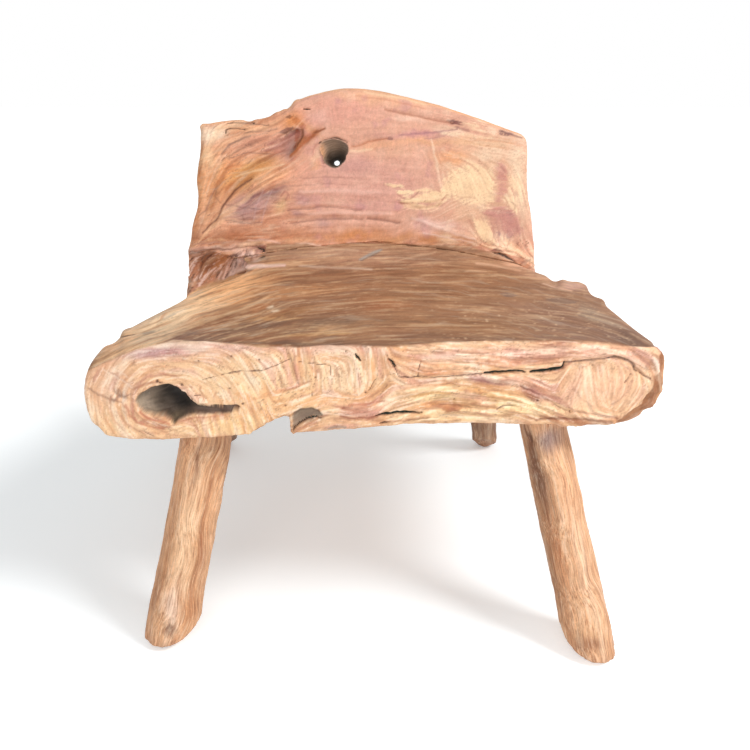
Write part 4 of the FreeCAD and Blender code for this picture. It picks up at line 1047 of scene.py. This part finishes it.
BACK_STROKES = (
    ("#7E5646", 0.75, (0.9, 229, 123, 248, 124.5, 268, 126)),
    ("#6C5048", 0.7, (1.1, 221, 154, 230, 145, 240, 140.5, 250, 136.5)),
    ("#7A5648", 0.5,
        (1, 222, 160, 238, 150, 258, 143), (0.9, 228, 158, 248, 152, 270, 154),
        (0.9, 245, 133, 262, 132, 276, 129)),
    ("#9B5A30", 0.7, (2, 302, 129, 303, 137, 298, 148, 290, 157)),
    ("#A0562C", 0.8, (1.5, 325, 129, 316, 132, 309, 139, 301, 147, 290, 156)),
    ("#6E3D25", 0.6, (1.3, 325, 129.4, 318, 131.2, 313, 133.6)),
    # Dark line at the scoop's right edge: painted shade
    ("#6E4A3E", 0.6, (1, 303, 130, 303, 136, 299, 145)),
    # The long crease's dark brown line, with the shade under it painted in
    ("#5C3426", 0.8,
        (1.2, 251, 179, 242, 185, 233, 191.5, 226, 200, 220, 210, 216, 220, 208, 228, 202, 233)),
    ("#A86A5C", 0.4, (0.9, 313, 150, 312.4, 155, 315, 160, 320, 164.5, 326, 166)),
    ("#A86A5C", 0.45, (1, 313, 150, 315, 145, 320, 142)),
    ("#8F5F45", 0.5, (1.1, 217, 185, 215, 196, 220, 202)),
    ("#F2CFA6", 0.5, (1.2, 236, 176, 252, 171, 270, 168, 284, 164)),
    ("#8E5B45", 0.6, (1, 198, 217, 206, 208, 211, 196, 215, 188)),
    ("#78564F", 0.55, (0.9, 225, 204, 242, 207, 268, 209.5), (0.9, 225, 220, 245, 223.5, 262, 222)),
    ("#C5A39E", 0.4, (1, 262, 190, 256, 206, 254, 220)),
    ("#C5A39E", 0.4, (1, 272, 190, 266, 204, 262, 222)),
    ("#A8685A", 0.6, (0.9, 281, 196, 285, 192, 289, 196, 285, 200)),
    ("#8B6054", 0.6,
        (1, 288, 210, 302, 209, 322, 207, 360, 210), (1.2, 292, 224, 312, 221, 330, 219, 362, 219.5)),
    ("#84584A", 0.7, (1.1, 367, 219, 384, 221, 399, 222.6)),
    ("#9C6A5C", 0.4, (0.9, 290, 187, 320, 184, 356, 186), (0.9, 300, 178, 330, 177, 352, 178)),
    # Pale lines along the two ribs: painted highlights
    ("#EFC3B2", 0.4, (2.3, 300, 192, 340, 191, 380, 193), (2.3, 310, 214, 350, 213, 390, 214)),
    ("#9A6248", 0.7, (1.3, 384, 109, 410, 114, 439, 121, 452, 122)),
    ("#C07F66", 0.5, (1.2, 356, 96, 388, 100, 424, 108)),
    ("#F6CFA6", 0.5, (1.7, 364, 92, 392, 96, 424, 103)),
    ("#8D5F66", 0.6, (1, 398, 135, 418, 134, 436, 132, 457, 129)),
    ("#8D5F66", 0.4, (0.9, 424, 139, 434, 138, 446, 135)),
    ("#B06A46", 0.7, (1.2, 351, 147, 358, 145.6, 368, 142, 386, 138)),
    ("#F2D0AC", 0.6, (1.6, 350, 151, 358, 151, 372, 149)),
    ("#76524C", 0.7, (1.2, 500, 131, 510, 134, 522, 138.5)),
    ("#C4896A", 0.5, (0.9, 466, 141, 490, 139, 520, 146)),
    ("#F8DFC0", 0.45, (1.1, 431, 139, 433, 148, 434, 154), (1.4, 434, 156, 437, 163, 438, 171)),
    ("#F8DFC0", 0.3, (1, 438, 171, 440, 180, 442, 188)),
    ("#C98F6E", 0.45, (1.1, 434, 141, 438, 156, 442, 170)),
    ("#A06A58", 0.65, (0.9, 397, 194, 402, 198.2, 410, 199.2, 416, 194.5, 420, 191)),
    ("#A86F58", 0.5, (0.9, 398, 202, 407, 206.6, 420, 208.6, 437, 206, 447, 194.5)),
    ("#B27C66", 0.4, (0.8, 447, 194.5, 462, 197.6, 476, 198.4)),
    ("#8D6258", 0.6, (0.9, 511, 202, 515.5, 205.5, 515, 209)),
    ("#9A6A60", 0.5, (1.2, 501, 166, 504, 171)),
    ("#B07A70", 0.5,
        (0.7, 491, 222, 495, 232, 492, 242, 497, 249), (0.7, 496, 222, 500, 231, 498, 240, 502, 248),
        (0.7, 502, 224, 505, 232, 503, 241, 507, 248)),
    ("#B07A70", 0.45, (0.7, 508, 228, 510, 237, 508, 246)),
    ("#F4D6C6", 0.4, (1.6, 412, 219, 430, 224, 456, 235, 474, 239), (1.1, 424, 232, 446, 238, 472, 242)),
    # Dark line in the small pocket where the back meets the seat: painted shade
    ("#4A3230", 0.8, (1.8, 486, 254.6, 499, 256, 507, 258.5, 515, 263)),
    ("#EBC8B0", 0.65, (1.2, 296, 243, 312, 243.5, 326, 246, 334, 247, 348, 243, 364, 244)),
    ("#E4BCAA", 0.6, (1.3, 248, 241, 262, 240, 280, 243)),
    # Dark line under the lip above the recess: painted shadow
    ("#80503C", 0.7, (1.2, 190, 253, 206, 250, 226, 249.5, 256, 246)),
    ("#E6CBBB", 0.7, (1.3, 189, 255, 198, 252.4, 206, 251)),
    ("#B98E7C", 0.5, (1, 192, 244, 214, 242, 250, 243)),
    ("#70433A", 0.55, (1.1, 236, 254, 233, 264, 226, 276), (1.1, 248, 250, 246, 260, 240, 268)),
    ("#5D3A2C", 0.6, (1.3, 204, 256, 200, 270, 196, 284)),
    ("#D49A76", 0.5, (1, 210, 272, 206, 282, 200, 288)),
    ("#8E5C48", 0.7, (1.2, 519, 269, 523, 262, 531, 260)),
    ("#8E5C48", 0.5, (1, 523, 270, 530, 267, 535, 266)),
)
BACK_CRACKS = (
    ((492, 253, 0.7), (500, 254.5, 1.8), (507, 257, 1.8), (515, 261.5, 0.7)),
    ((225.5, 134, 0.5), (225.5, 130, 0.9), (229, 128.4, 0.9), (245, 129, 0.6)),
    ((226, 122.6, 0.8), (233, 121.4, 0.9)), ((249, 122.4, 0.6), (254, 123.6, 0.8)),
    ((303.5, 108.6, 0.6), (307, 108.4, 1.1), (311, 108.6, 0.6)),
    ((258, 248, 1.2), (264, 250, 1.5), (262, 254, 1.2)), ((261, 258.5, 1.5), (265.5, 257, 1.6)),
    # The last line is the dark crescent along the knot hole's top rim: painted shadow under its lip
    ((318, 143.4, 0.7), (327, 140.8, 1.3), (337, 138.8, 1.4), (347, 142.6, 1)),
)
BACK_CREASES = (
    (2.5, 251, 179, 233, 191, 222, 206, 215, 221, 203, 233), (2.3, 325, 129, 314, 134, 301, 148),
    (1.8, 367, 219, 384, 221, 399, 222.6), (2.4, 290, 224, 330, 219, 362, 219.5),
    (2.1, 288, 210, 322, 207, 360, 210), (2.3, 384, 109, 412, 114.5, 452, 122.5),
    (2.1, 190, 254, 226, 250, 256, 247), (1.7, 400, 203, 420, 208.6, 440, 205),
    (1.7, 350, 146.5, 368, 142, 386, 138), (2, 234, 256, 228, 272, 222, 282),
    (1.8, 247, 251, 243, 264, 236, 274), (2.2, 206, 256, 201, 270, 196, 284),
)
BACK_WELTS = (
    (3.2, 306, 132, 303, 143, 293, 156), (4.3, 300, 193, 345, 192, 390, 194),
    (3.8, 300, 214, 345, 213, 390, 215), (3.8, 240, 180, 262, 167, 286, 163),
    (3.7, 208, 226, 214, 204, 226, 186), (3, 190, 249, 226, 246, 262, 243),
    (2.3, 296, 244, 334, 246, 366, 243), (2.7, 412, 218, 440, 229, 474, 239),
    (3.4, 398, 199, 418, 202, 438, 198),
)

# Line below which the back's lowest strip takes the seat's colours
BACK_FOOT = (
    (184, 300), (197, 288), (207, 283), (223, 278), (233, 274), (239, 268), (262, 259.5), (265, 252),
    (267, 243.5), (296, 242.5), (320, 245), (334, 247), (350, 243.5), (364, 243), (384, 246), (400, 243),
    (440, 244), (470, 246), (493, 252.5), (515, 262), (537, 276),
)

# Outlines of the scoop, of the knot hole's pale halo and of the light and dark islands
SCOOP_OUTLINE = (
    (302.8, 130.5), (302.5, 137), (298.6, 145), (291.5, 153.6), (281, 159), (266, 163.5), (254, 162),
    (262, 151), (272, 141), (282, 132), (292, 128.4),
)
HALO_OUTLINE = (
    (313, 150), (315, 144.6), (320, 143), (325, 145), (326, 164), (319, 164), (313.4, 159), (312, 154),
)
BACK_ISLANDS = (
    ("#F3D0A6", 0.75, (
        (389, 187), (398, 187.6), (405, 191), (410, 195.5), (414, 195), (418, 191), (430, 189.6),
        (441, 189), (446, 180), (450, 172), (460, 167.5), (470, 166), (482, 170), (491, 175),
        (495, 182), (492, 192), (495, 199), (487, 206), (476, 204), (464, 204), (455, 198),
        (448, 195), (441, 202), (434, 206), (421, 208.5), (407, 206), (398, 198), (404, 197), (396, 192),
    )),
    ("#F0CDA6", 0.7, (
        (509, 178), (517, 175), (524, 186), (525, 206), (516, 212), (508, 204), (513, 194), (506, 188),
    )),
    ("#BE8377", 0.75, (
        (484, 214), (494, 212), (504, 214), (515, 218), (519, 228), (512, 237), (503, 231), (498, 222),
        (489, 219),
    )),
    ("#C58B7C", 0.75, (
        (495, 166), (501, 164), (506, 172), (504, 181), (506, 189), (502, 198), (497, 206), (496, 196),
        (498, 184),
    )),
    ("#EECAA0", 0.7, ((476, 221), (486, 218), (493, 226), (497, 240), (489, 246), (481, 240))),
    ("#F5D3B0", 0.6, ((499, 236), (508, 238), (514, 246), (519, 256), (508, 254), (500, 247))),
)

# Small moves of the back's outline
BACK_MOVES = (
    (192, 273, 9, -2.4, 0), (203, 126, 5, -2.4, -1.6), (198, 203, 17, 3.4, 0), (190, 257, 12, -2.6, 0),
    (189, 286, 8, -2, 0), (202, 150, 12, 1, 0), (529, 182, 26, -2.4, 0), (289, 107, 4, 0, 2),
    (295, 100, 4, 0, -1.6), (249, 120, 5, 0, 1.6), (276, 115, 4, 0, -1.2), (535, 246, 8, 1, 0),
)

# Shape of the knot hole's mouth: its radius at eight turns from the right, as shares of the cut ellipse
KNOT_PX = (335.5, 156.0)
KNOT_RADII_PX = (15.2, 13.2)
KNOT_SHARES = (0.68, 0.72, 0.92, 0.86, 0.80, 1.42, 1.36, 1.22)
# The knot hole's grey-tan wall, with painted shade turning near-black towards its far end
KNOT_SPOTS_AND_SHADE = (
    (332, 148, 12, 8, 0, "#B89E88", 0.85), (320, 153, 6, 10, 0, "#E0A478", 0.95),
    (327, 160, 4, 7, 20, "#8A7360", 0.6), (343, 152, 6, 6, 30, "#6E5D50", 0.7),
    (340, 159, 7, 6, 0, "#37302B", 0.9), (333, 162, 6, 6, 0, "#4A4038", 0.8),
    (343, 146, 6, 4, 0, "#8B7868", 0.7),
)
EXIT_PX = (337.0, 163.5)
EXIT_RADIUS_PX = 4.4
EXIT_SHRINK = 0.42
PX_AT_BACK = 0.00186


def depth_behind(points):
    """Depth of points behind the plain front face of the back."""
    return points[:, 1] - BACK_FRONT - BACK_LEAN * (points[:, 2] - SEAT_TOP)


def leaf_mouth(points):
    """Moves the knot hole's round rim to its leaf shape and narrows its far end."""
    px = pixels(points)
    reach = px - KNOT_PX
    turn = np.degrees(np.arctan2(reach[:, 1], reach[:, 0])) % 360
    turns = np.linspace(0, 360, len(KNOT_SHARES) + 1)
    stretch = np.interp(turn, turns, (*KNOT_SHARES, KNOT_SHARES[0])) - 1
    far = np.hypot(*(reach / KNOT_RADII_PX).T)
    depth = depth_behind(points)
    hold = smooth(-far, -2.2, -1.05) * smooth(-depth, -0.045, -0.012) * smooth(far, 0, 0.5)
    shift = reach * (stretch * hold)[:, None]
    from_exit = px - EXIT_PX
    share = smooth(-np.hypot(*from_exit.T) / EXIT_RADIUS_PX, -2.6, -1.1) * smooth(depth, 0.028, 0.045)
    shift -= from_exit * (share * EXIT_SHRINK)[:, None]
    shift *= PX_AT_BACK
    moved = points.copy()
    moved[:, 0] += shift[:, 0]
    moved[:, 2] -= shift[:, 1]
    moved[:, 1] -= shift[:, 1] * BACK_LEAN
    return moved


def back_colour(px, points, noise, sway, close):
    """Colours of the back's front face."""
    x, y = px.T
    warped = px + sway * (5, 4)
    fine = BACK_GRAIN.draw(px, 7, 1.15, 8)
    coarse = BACK_GRAIN.draw(px, 8, 2.3, 22, 9)
    middle = BACK_GRAIN.draw(px, 16, 4.8, 26, 8)
    speck, soft = Scatter(9, 1.25)(px), Scatter(17, 2.6)(px)
    ribs = Scatter(10, 1.0)(px * (1.1, 0.3))
    ragged = fine * 0.8 + coarse * 0.7 + speck * 0.4
    left = 1 - smooth(x, 262, 330) * smooth(-y, -246, -236)
    right = smooth(x, 420, 450)
    centre = (1 - left) * (1 - right)
    face = mottle(warped, ragged, paint(warped, "#E0A68B", BACK_SPOTS), BACK_PATCHES)
    cloud = noise(points * 26 + 5, 3) * 2.4
    face = vary(face, middle, "#F3C498", "#A25A36", left * 0.4)
    face = vary(face, cloud, "#F0BCA2", "#BE8088", centre * 0.34)
    face = vary(face, cloud + middle * 0.5, "#F6DAB8", "#CF8F78", right * 0.36)
    face = vary(face, coarse + fine, "#F9DFC0", "#C4836C", right * 0.22)
    pocket = smooth(-x, -262, -250) * smooth(y, 250, 256)
    face = lay(face, "#9A5A34", pocket * smooth(-x - y * 0.6, -396, -376) * 0.5)
    face = lay(face, "#DCBBAE", pocket * smooth(x + y * 0.6, 380, 396) * 0.7)
    face = vary(face, coarse * 0.4 + fine, "#E8C4B4", "#5A3528", pocket * 0.8)
    face = face * (1 - (1 - left)[:, None] * (0.09, 0.07, 0.04))
    for name, amount, outline in BACK_ISLANDS:
        torn = inside_of(close, outline) + ragged * 2.2
        face = lay(face, name, smooth(torn, -2.2, 2.6) * amount)
    face = weather(face, fine, coarse, 0.8 * left + 0.2 * centre + 0.32 * right)
    face = face * (1 + np.clip(speck * 0.04 + soft * 0.03 + ribs * 0.045 * centre, -0.2, 0.2))[:, None]
    face = lay(face, "#AD6A60", smooth(speck, 1.2, 2.2) * (centre + 0.5 * right) * 0.5)
    torn = smooth(noise(points * 50 + 3, 2), -0.15, 0.3)
    face = lay(face, "#7A4A38", hair(middle, 0.12) * torn * (0.6 * left + 0.3 * right))
    face = lay(face, "#A5655A", hair(coarse, 0.14) * smooth(cloud, -0.5, 0.6) * (0.3 * left + 0.4 * right))
    return streak(close, face, BACK_STROKES + LEDGE_STROKES), fine, coarse, left


def back_shown(centre, normal):
    """Which faces belong to the back's front above the seat."""
    return (normal[:, 1] < -0.1) & (centre[:, 2] > TOP_FROM)


def build_back(material):
    """The back slab with its scoop, creases and knot hole."""
    mesh = even_mesh("back_slab", BACK_VOXEL, (back_shown,))
    points, normals = nudge(leaf_mouth(read(mesh, "co")), BACK_MOVES), read(mesh, "normal")
    noise = Noise(23)
    px = pixels(points)
    x, y = px.T
    front = smooth(-normals[:, 1], 0.2, 0.6)
    sway, jitter = shake(points, px, noise, 20, 19)
    close = px + sway * (1.4, 1.2) + jitter * 0.3
    depth_in = depth_behind(points)
    tunnel = smooth(depth_in, 0.003, 0.008) * smooth(-np.hypot(*(px - KNOT_PX).T), -24, -20)
    tunnel *= smooth(normals[:, 1], -0.93, -0.75) * smooth(-normals[:, 1], -0.92, -0.8)

    inner = noise(points / (0.07, 0.005, 0.005), 3)
    face, fine, coarse, left = back_colour(px, points, noise, sway, close)
    foot = smooth(-above_line(close, BACK_FOOT), -0.6, 1.6) * smooth(-normals[:, 1], -0.3, 0.1)
    foot *= smooth(0.5 - points[:, 2], 0, 0.01)
    sides = plain_colour(points, noise, "apricot", inner)
    tint = blend(blend(sides, face, front), top_colour(px, points, noise, sway), foot)

    # Wall of the knot hole: grey-tan wood and painted shade, darkest towards the far end
    wall = paint(px, "#8F7A6A", KNOT_SPOTS_AND_SHADE)
    rings = np.hypot(*(px - EXIT_PX).T) / 2.6 + sway[:, 0]
    arcs = smooth(-np.abs(rings % 1 - 0.5), -0.25, -0.05)
    wall = lay(wall, "#5A4A3E", arcs * 0.35)
    tint = blend(tint, wall, tunnel)

    # The cracks make the mark by which the material paints shade in them
    cracks = near_lines(close, BACK_CRACKS, 0.85) * front * (1 - tunnel)
    creases = near_tapers(close, BACK_CREASES) * front
    scoop = smooth(inside_of(close, SCOOP_OUTLINE), -0.5, 2.2) * blob(close, 291, 142, 21, 12, -38)
    halo = smooth(inside_of(close, HALO_OUTLINE), -0.4, 1.4)
    relief = (0.00025 + 0.0005 * left) * coarse + 0.00014 * fine * (0.6 + left)
    relief += 0.0024 * noise(points * 13, 3) + 0.0008 * left * noise(points * 40, 2)
    relief += 0.0016 * near_tapers(close, BACK_WELTS)
    relief -= 0.0105 * scoop + 0.003 * halo + 0.0022 * creases + 0.0038 * cracks
    relief -= 0.006 * blob(px, 260, 249, 7, 5) + 0.003 * blob(px, 252, 203, 26, 12, -24)
    relief *= front * (1 - tunnel) * (1 - 0.7 * foot)
    relief += (1 - front) * (0.0009 * noise(points * 16, 3) + 0.0003 * inner)
    places = points + normals * relief[:, None]

    drift = px @ np.array((0.4, 1.0)) + noise(points * 18, 3) * 6
    flow = (x / FLOW_PX, y / FLOW_PX, drift / 8)
    marks = (cracks * 0.8, 0.1 + 0.3 * left + 0.3 * (1 - front), 0.1 * front)
    finish_piece("back_slab", mesh, places, flow, tint, marks, material)


# Legs

# Heights below and above which a leg's foot and head are measured, and where its free length ends
LEG_FOOT = 0.02
LEG_HEAD = 0.36
LEG_FREE = 0.325

# Colours of the legs' knots, which are also sunk
LEG_KNOTS = ("#7A4E34", "#7F5238", "#553629")
LEG_SPOTS_AND_PAINTED_LIGHT = {
    "front_left": (
        (212, 455, 16, 22, 0, "#B98A64", 0.85),
        (196, 466, 3, 30, 8, "#7A4E34", 0.75),
        # The pale stripe down the leg's middle is a painted highlight, and the darker stripes beside it are
        # painted shade
        (186, 540, 10, 60, 8, "#EBC39C", 0.7),
        (200, 540, 5, 60, 8, "#C48C60", 0.6),
        (164, 570, 7, 50, 12, "#C08A60", 0.7),
        (172, 608, 8, 24, 8, "#E3C6B4", 0.6),
        (168, 631, 10, 8, 0, "#7F5238", 0.8),
        (188, 612, 10, 18, 10, "#C98F64", 0.8),
    ),
    "front_right": (
        (551, 441, 12, 14, 0, "#9C8480", 0.95),
        (530, 437, 4, 8, 0, "#553629", 0.95),
        # The dark stripes down the leg's left side are painted shade, and the pale ones towards its right
        # are painted highlight
        (536, 470, 8, 56, -14, "#6E452F", 0.9),
        (548, 560, 6, 60, -14, "#A8754E", 0.8),
        (568, 500, 10, 50, -14, "#E3AE86", 0.8),
        (584, 560, 8, 60, -14, "#EDC09C", 0.7),
        (560, 560, 5, 45, -14, "#C98A5E", 0.6),
        (590, 645, 16, 9, 0, "#9C6848", 0.8),
    ),
    "rear_left": (),
    # The rear right leg's top under the seat is painted darker still as shade
    "rear_right": ((484, 428, 16, 12, 0, "#8A6448", 0.8),),
}


def build_leg(name, material, seed):
    """One peeled log with long grooves, knots and a foot darker towards the floor."""
    node = f"leg_{name}"
    mesh = even_mesh(node, LEG_VOXEL, ())
    points, normals = read(mesh, "co"), read(mesh, "normal")
    noise = Noise(seed)
    px = pixels(points)
    foot = points[points[:, 2] < LEG_FOOT].mean(axis=0)
    head = points[points[:, 2] > LEG_HEAD].mean(axis=0)
    axis = (head - foot) / np.linalg.norm(head - foot)
    side = np.cross(axis, (0, 1, 0))
    side /= np.linalg.norm(side)
    rear = np.cross(axis, side)
    along = (points - foot) @ axis
    across, deep = (points - foot) @ side, (points - foot) @ rear
    sway = noise(points * 9, 2) * 0.010
    flow = np.stack((along / 0.17, (across + sway) / 0.010, (deep + sway) / 0.010), axis=1)
    free = smooth(LEG_FREE - points[:, 2], 0, 0.01)
    grooves = noise(flow * (1.0, 0.9, 0.9), 3)
    fibres = noise(flow * (2.2, 3.4, 3.4), 2)
    depth = free * (0.0013 * grooves + 0.0004 * fibres + 0.0026 * noise(points * 14, 2) - 0.0008)
    for *spot, colour, _ in LEG_SPOTS_AND_PAINTED_LIGHT[name]:
        if colour in LEG_KNOTS:
            depth -= free * 0.0024 * blob(px, *spot)
    warped = px + np.stack((noise(points * 25, 2), noise(points * 25 + 9, 2)), axis=1) * 4
    # The rear legs' darker base colour is painted shade
    base = "#DDAA80" if name.startswith("front") else "#AC8060"
    tint = paint(warped, base, LEG_SPOTS_AND_PAINTED_LIGHT[name])
    tint = weather(tint, fibres * 2, grooves * 2, np.full(len(px), 0.9))
    # Darker towards the floor
    tint = lay(tint, "clay", smooth(0.035 - points[:, 2], 0, 0.03) * 0.5)
    marks = (along * 0, along * 0 + 0.8, along * 0)
    finish_piece(node, mesh, points + normals * depth[:, None], flow.T, tint, marks, material)


# Pegs and wedges


def plain_wood(name, base, dark, scale, stretch):
    """Wood for the small pieces, with its grain along Y or Z."""
    shader = Shader(bpy.data.materials.new(name))
    grain = shader.node("ShaderNodeMapping", {"Vector": shader.place(), "Scale": stretch}).outputs[0]
    streaks = shader.noise(grain, scale, 4.0, 0.6, 0.4)
    fine = shader.noise(grain, scale * 4, 3.0, 0.6)
    colour = shader.mix(shader.ramp(streaks, 0.35, 0.7), rgba(base), rgba(dark))
    colour = shader.mix(shader.ramp(fine, 0.5, 0.7, 0.0, 0.5), colour, rgba("umber"))
    shader.drive("Base Color", colour)
    shader.surface.inputs["Roughness"].default_value = 0.6
    bump = shader.node("ShaderNodeBump", {"Strength": 0.5, "Distance": 0.0008, "Height": fine})
    shader.drive("Normal", bump.outputs[0])
    return shader.holder


def dress_small_pieces():
    """Gives the pegs and wedges their wood."""
    peg_wood = plain_wood("peg_wood", "tan", "bark", 60.0, (1.0, 0.08, 1.0))
    wedge_wood = plain_wood("wedge_wood", "peach", "walnut", 60.0, (1.0, 1.0, 0.1))
    for name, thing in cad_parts.items():
        if name.startswith(("back_peg", "tenon_wedge")):
            chosen = peg_wood if name.startswith("back_peg") else wedge_wood
            for material_slot in thing.material_slots:
                material_slot.material = chosen


# Stage

LAMPS = (
    ("key", (1.75, -0.95, 2.1), 0.8, 44),
    ("front", (-0.3, -2.8, 1.2), 2.4, 30),
)


def make_stage():
    """White floor that keeps the shadow, white surroundings, lamps and camera."""
    scene = bpy.context.scene
    bpy.ops.mesh.primitive_plane_add(size=60)
    floor = bpy.context.object
    floor.name = "floor"
    shader = Shader(bpy.data.materials.new("floor_white"))
    shader.surface.inputs["Base Color"].default_value = (0.90, 0.95, 0.97, 1)
    shader.surface.inputs["Roughness"].default_value = 0.9
    shader.surface.inputs["Specular IOR Level"].default_value = 0.0
    spread = {"Vector": shader.place(), "Location": (0.06, -0.15, 0.0), "Scale": (0.6, 1.0, 1.0)}
    place = shader.node("ShaderNodeMapping", spread).outputs[0]
    far = shader.node("ShaderNodeVectorMath", {0: place}, operation="LENGTH").outputs["Value"]
    # The camera-only white glow is weakest over an oval around the bench and strongest far off, so the
    # floor near the bench stays darker: painted shade around the cast shadow
    glow = shader.math("MULTIPLY", shader.ramp(far, 0.35, 0.8, FLOOR_GLOW, 0.7), shader.direct_rays())
    white = shader.node("ShaderNodeEmission", {"Color": WHITE, "Strength": glow}).outputs[0]
    both = shader.node("ShaderNodeAddShader", {0: shader.surface.outputs[0], 1: white}).outputs[0]
    shader.finish("Material Output", both)
    floor.data.materials.append(shader.holder)

    scene.world = bpy.data.worlds.new("surroundings")
    sky = Shader(scene.world, "Background")
    sky.surface.inputs["Color"].default_value = WHITE
    sky.surface.inputs["Strength"].default_value = WORLD_LIGHT
    bright = sky.node("ShaderNodeBackground", {"Color": WHITE, "Strength": 1.0}).outputs[0]
    ends = {0: sky.direct_rays(), 1: sky.surface.outputs[0], 2: bright}
    sky.finish("World Output", sky.node("ShaderNodeMixShader", ends).outputs[0])

    for name, place, size, power in LAMPS:
        lamp = bpy.data.lights.new(name, "AREA")
        lamp.shape = "DISK"
        lamp.size = size
        lamp.energy = power
        holder = bpy.data.objects.new(name, lamp)
        holder.location = place
        holder.rotation_euler = (Vector((0, 0, 0.35)) - Vector(place)).to_track_quat("-Z", "Y").to_euler()
        scene.collection.objects.link(holder)

    lens = bpy.data.cameras.new("camera")
    lens.sensor_width = 36
    lens.lens = lens.sensor_width * FOCAL_PX / FRAME_PX
    camera = bpy.data.objects.new("camera", lens)
    camera.location = (0, CAMERA_Y, CAMERA_HEIGHT)
    camera.rotation_euler = (math.radians(90) - CAMERA_TILT, 0, 0)
    scene.collection.objects.link(camera)
    scene.camera = camera
    scene.view_settings.view_transform = "Standard"


slab_wood = wood("slab_wood", 0.0, 0.55)
leg_wood = wood("leg_wood", 0.8, 0.5)
build_seat(slab_wood)
build_back(slab_wood)
for leg_seed, leg_name in enumerate(LEG_SPOTS_AND_PAINTED_LIGHT, start=41):
    build_leg(leg_name, leg_wood, leg_seed)
dress_small_pieces()
make_stage()
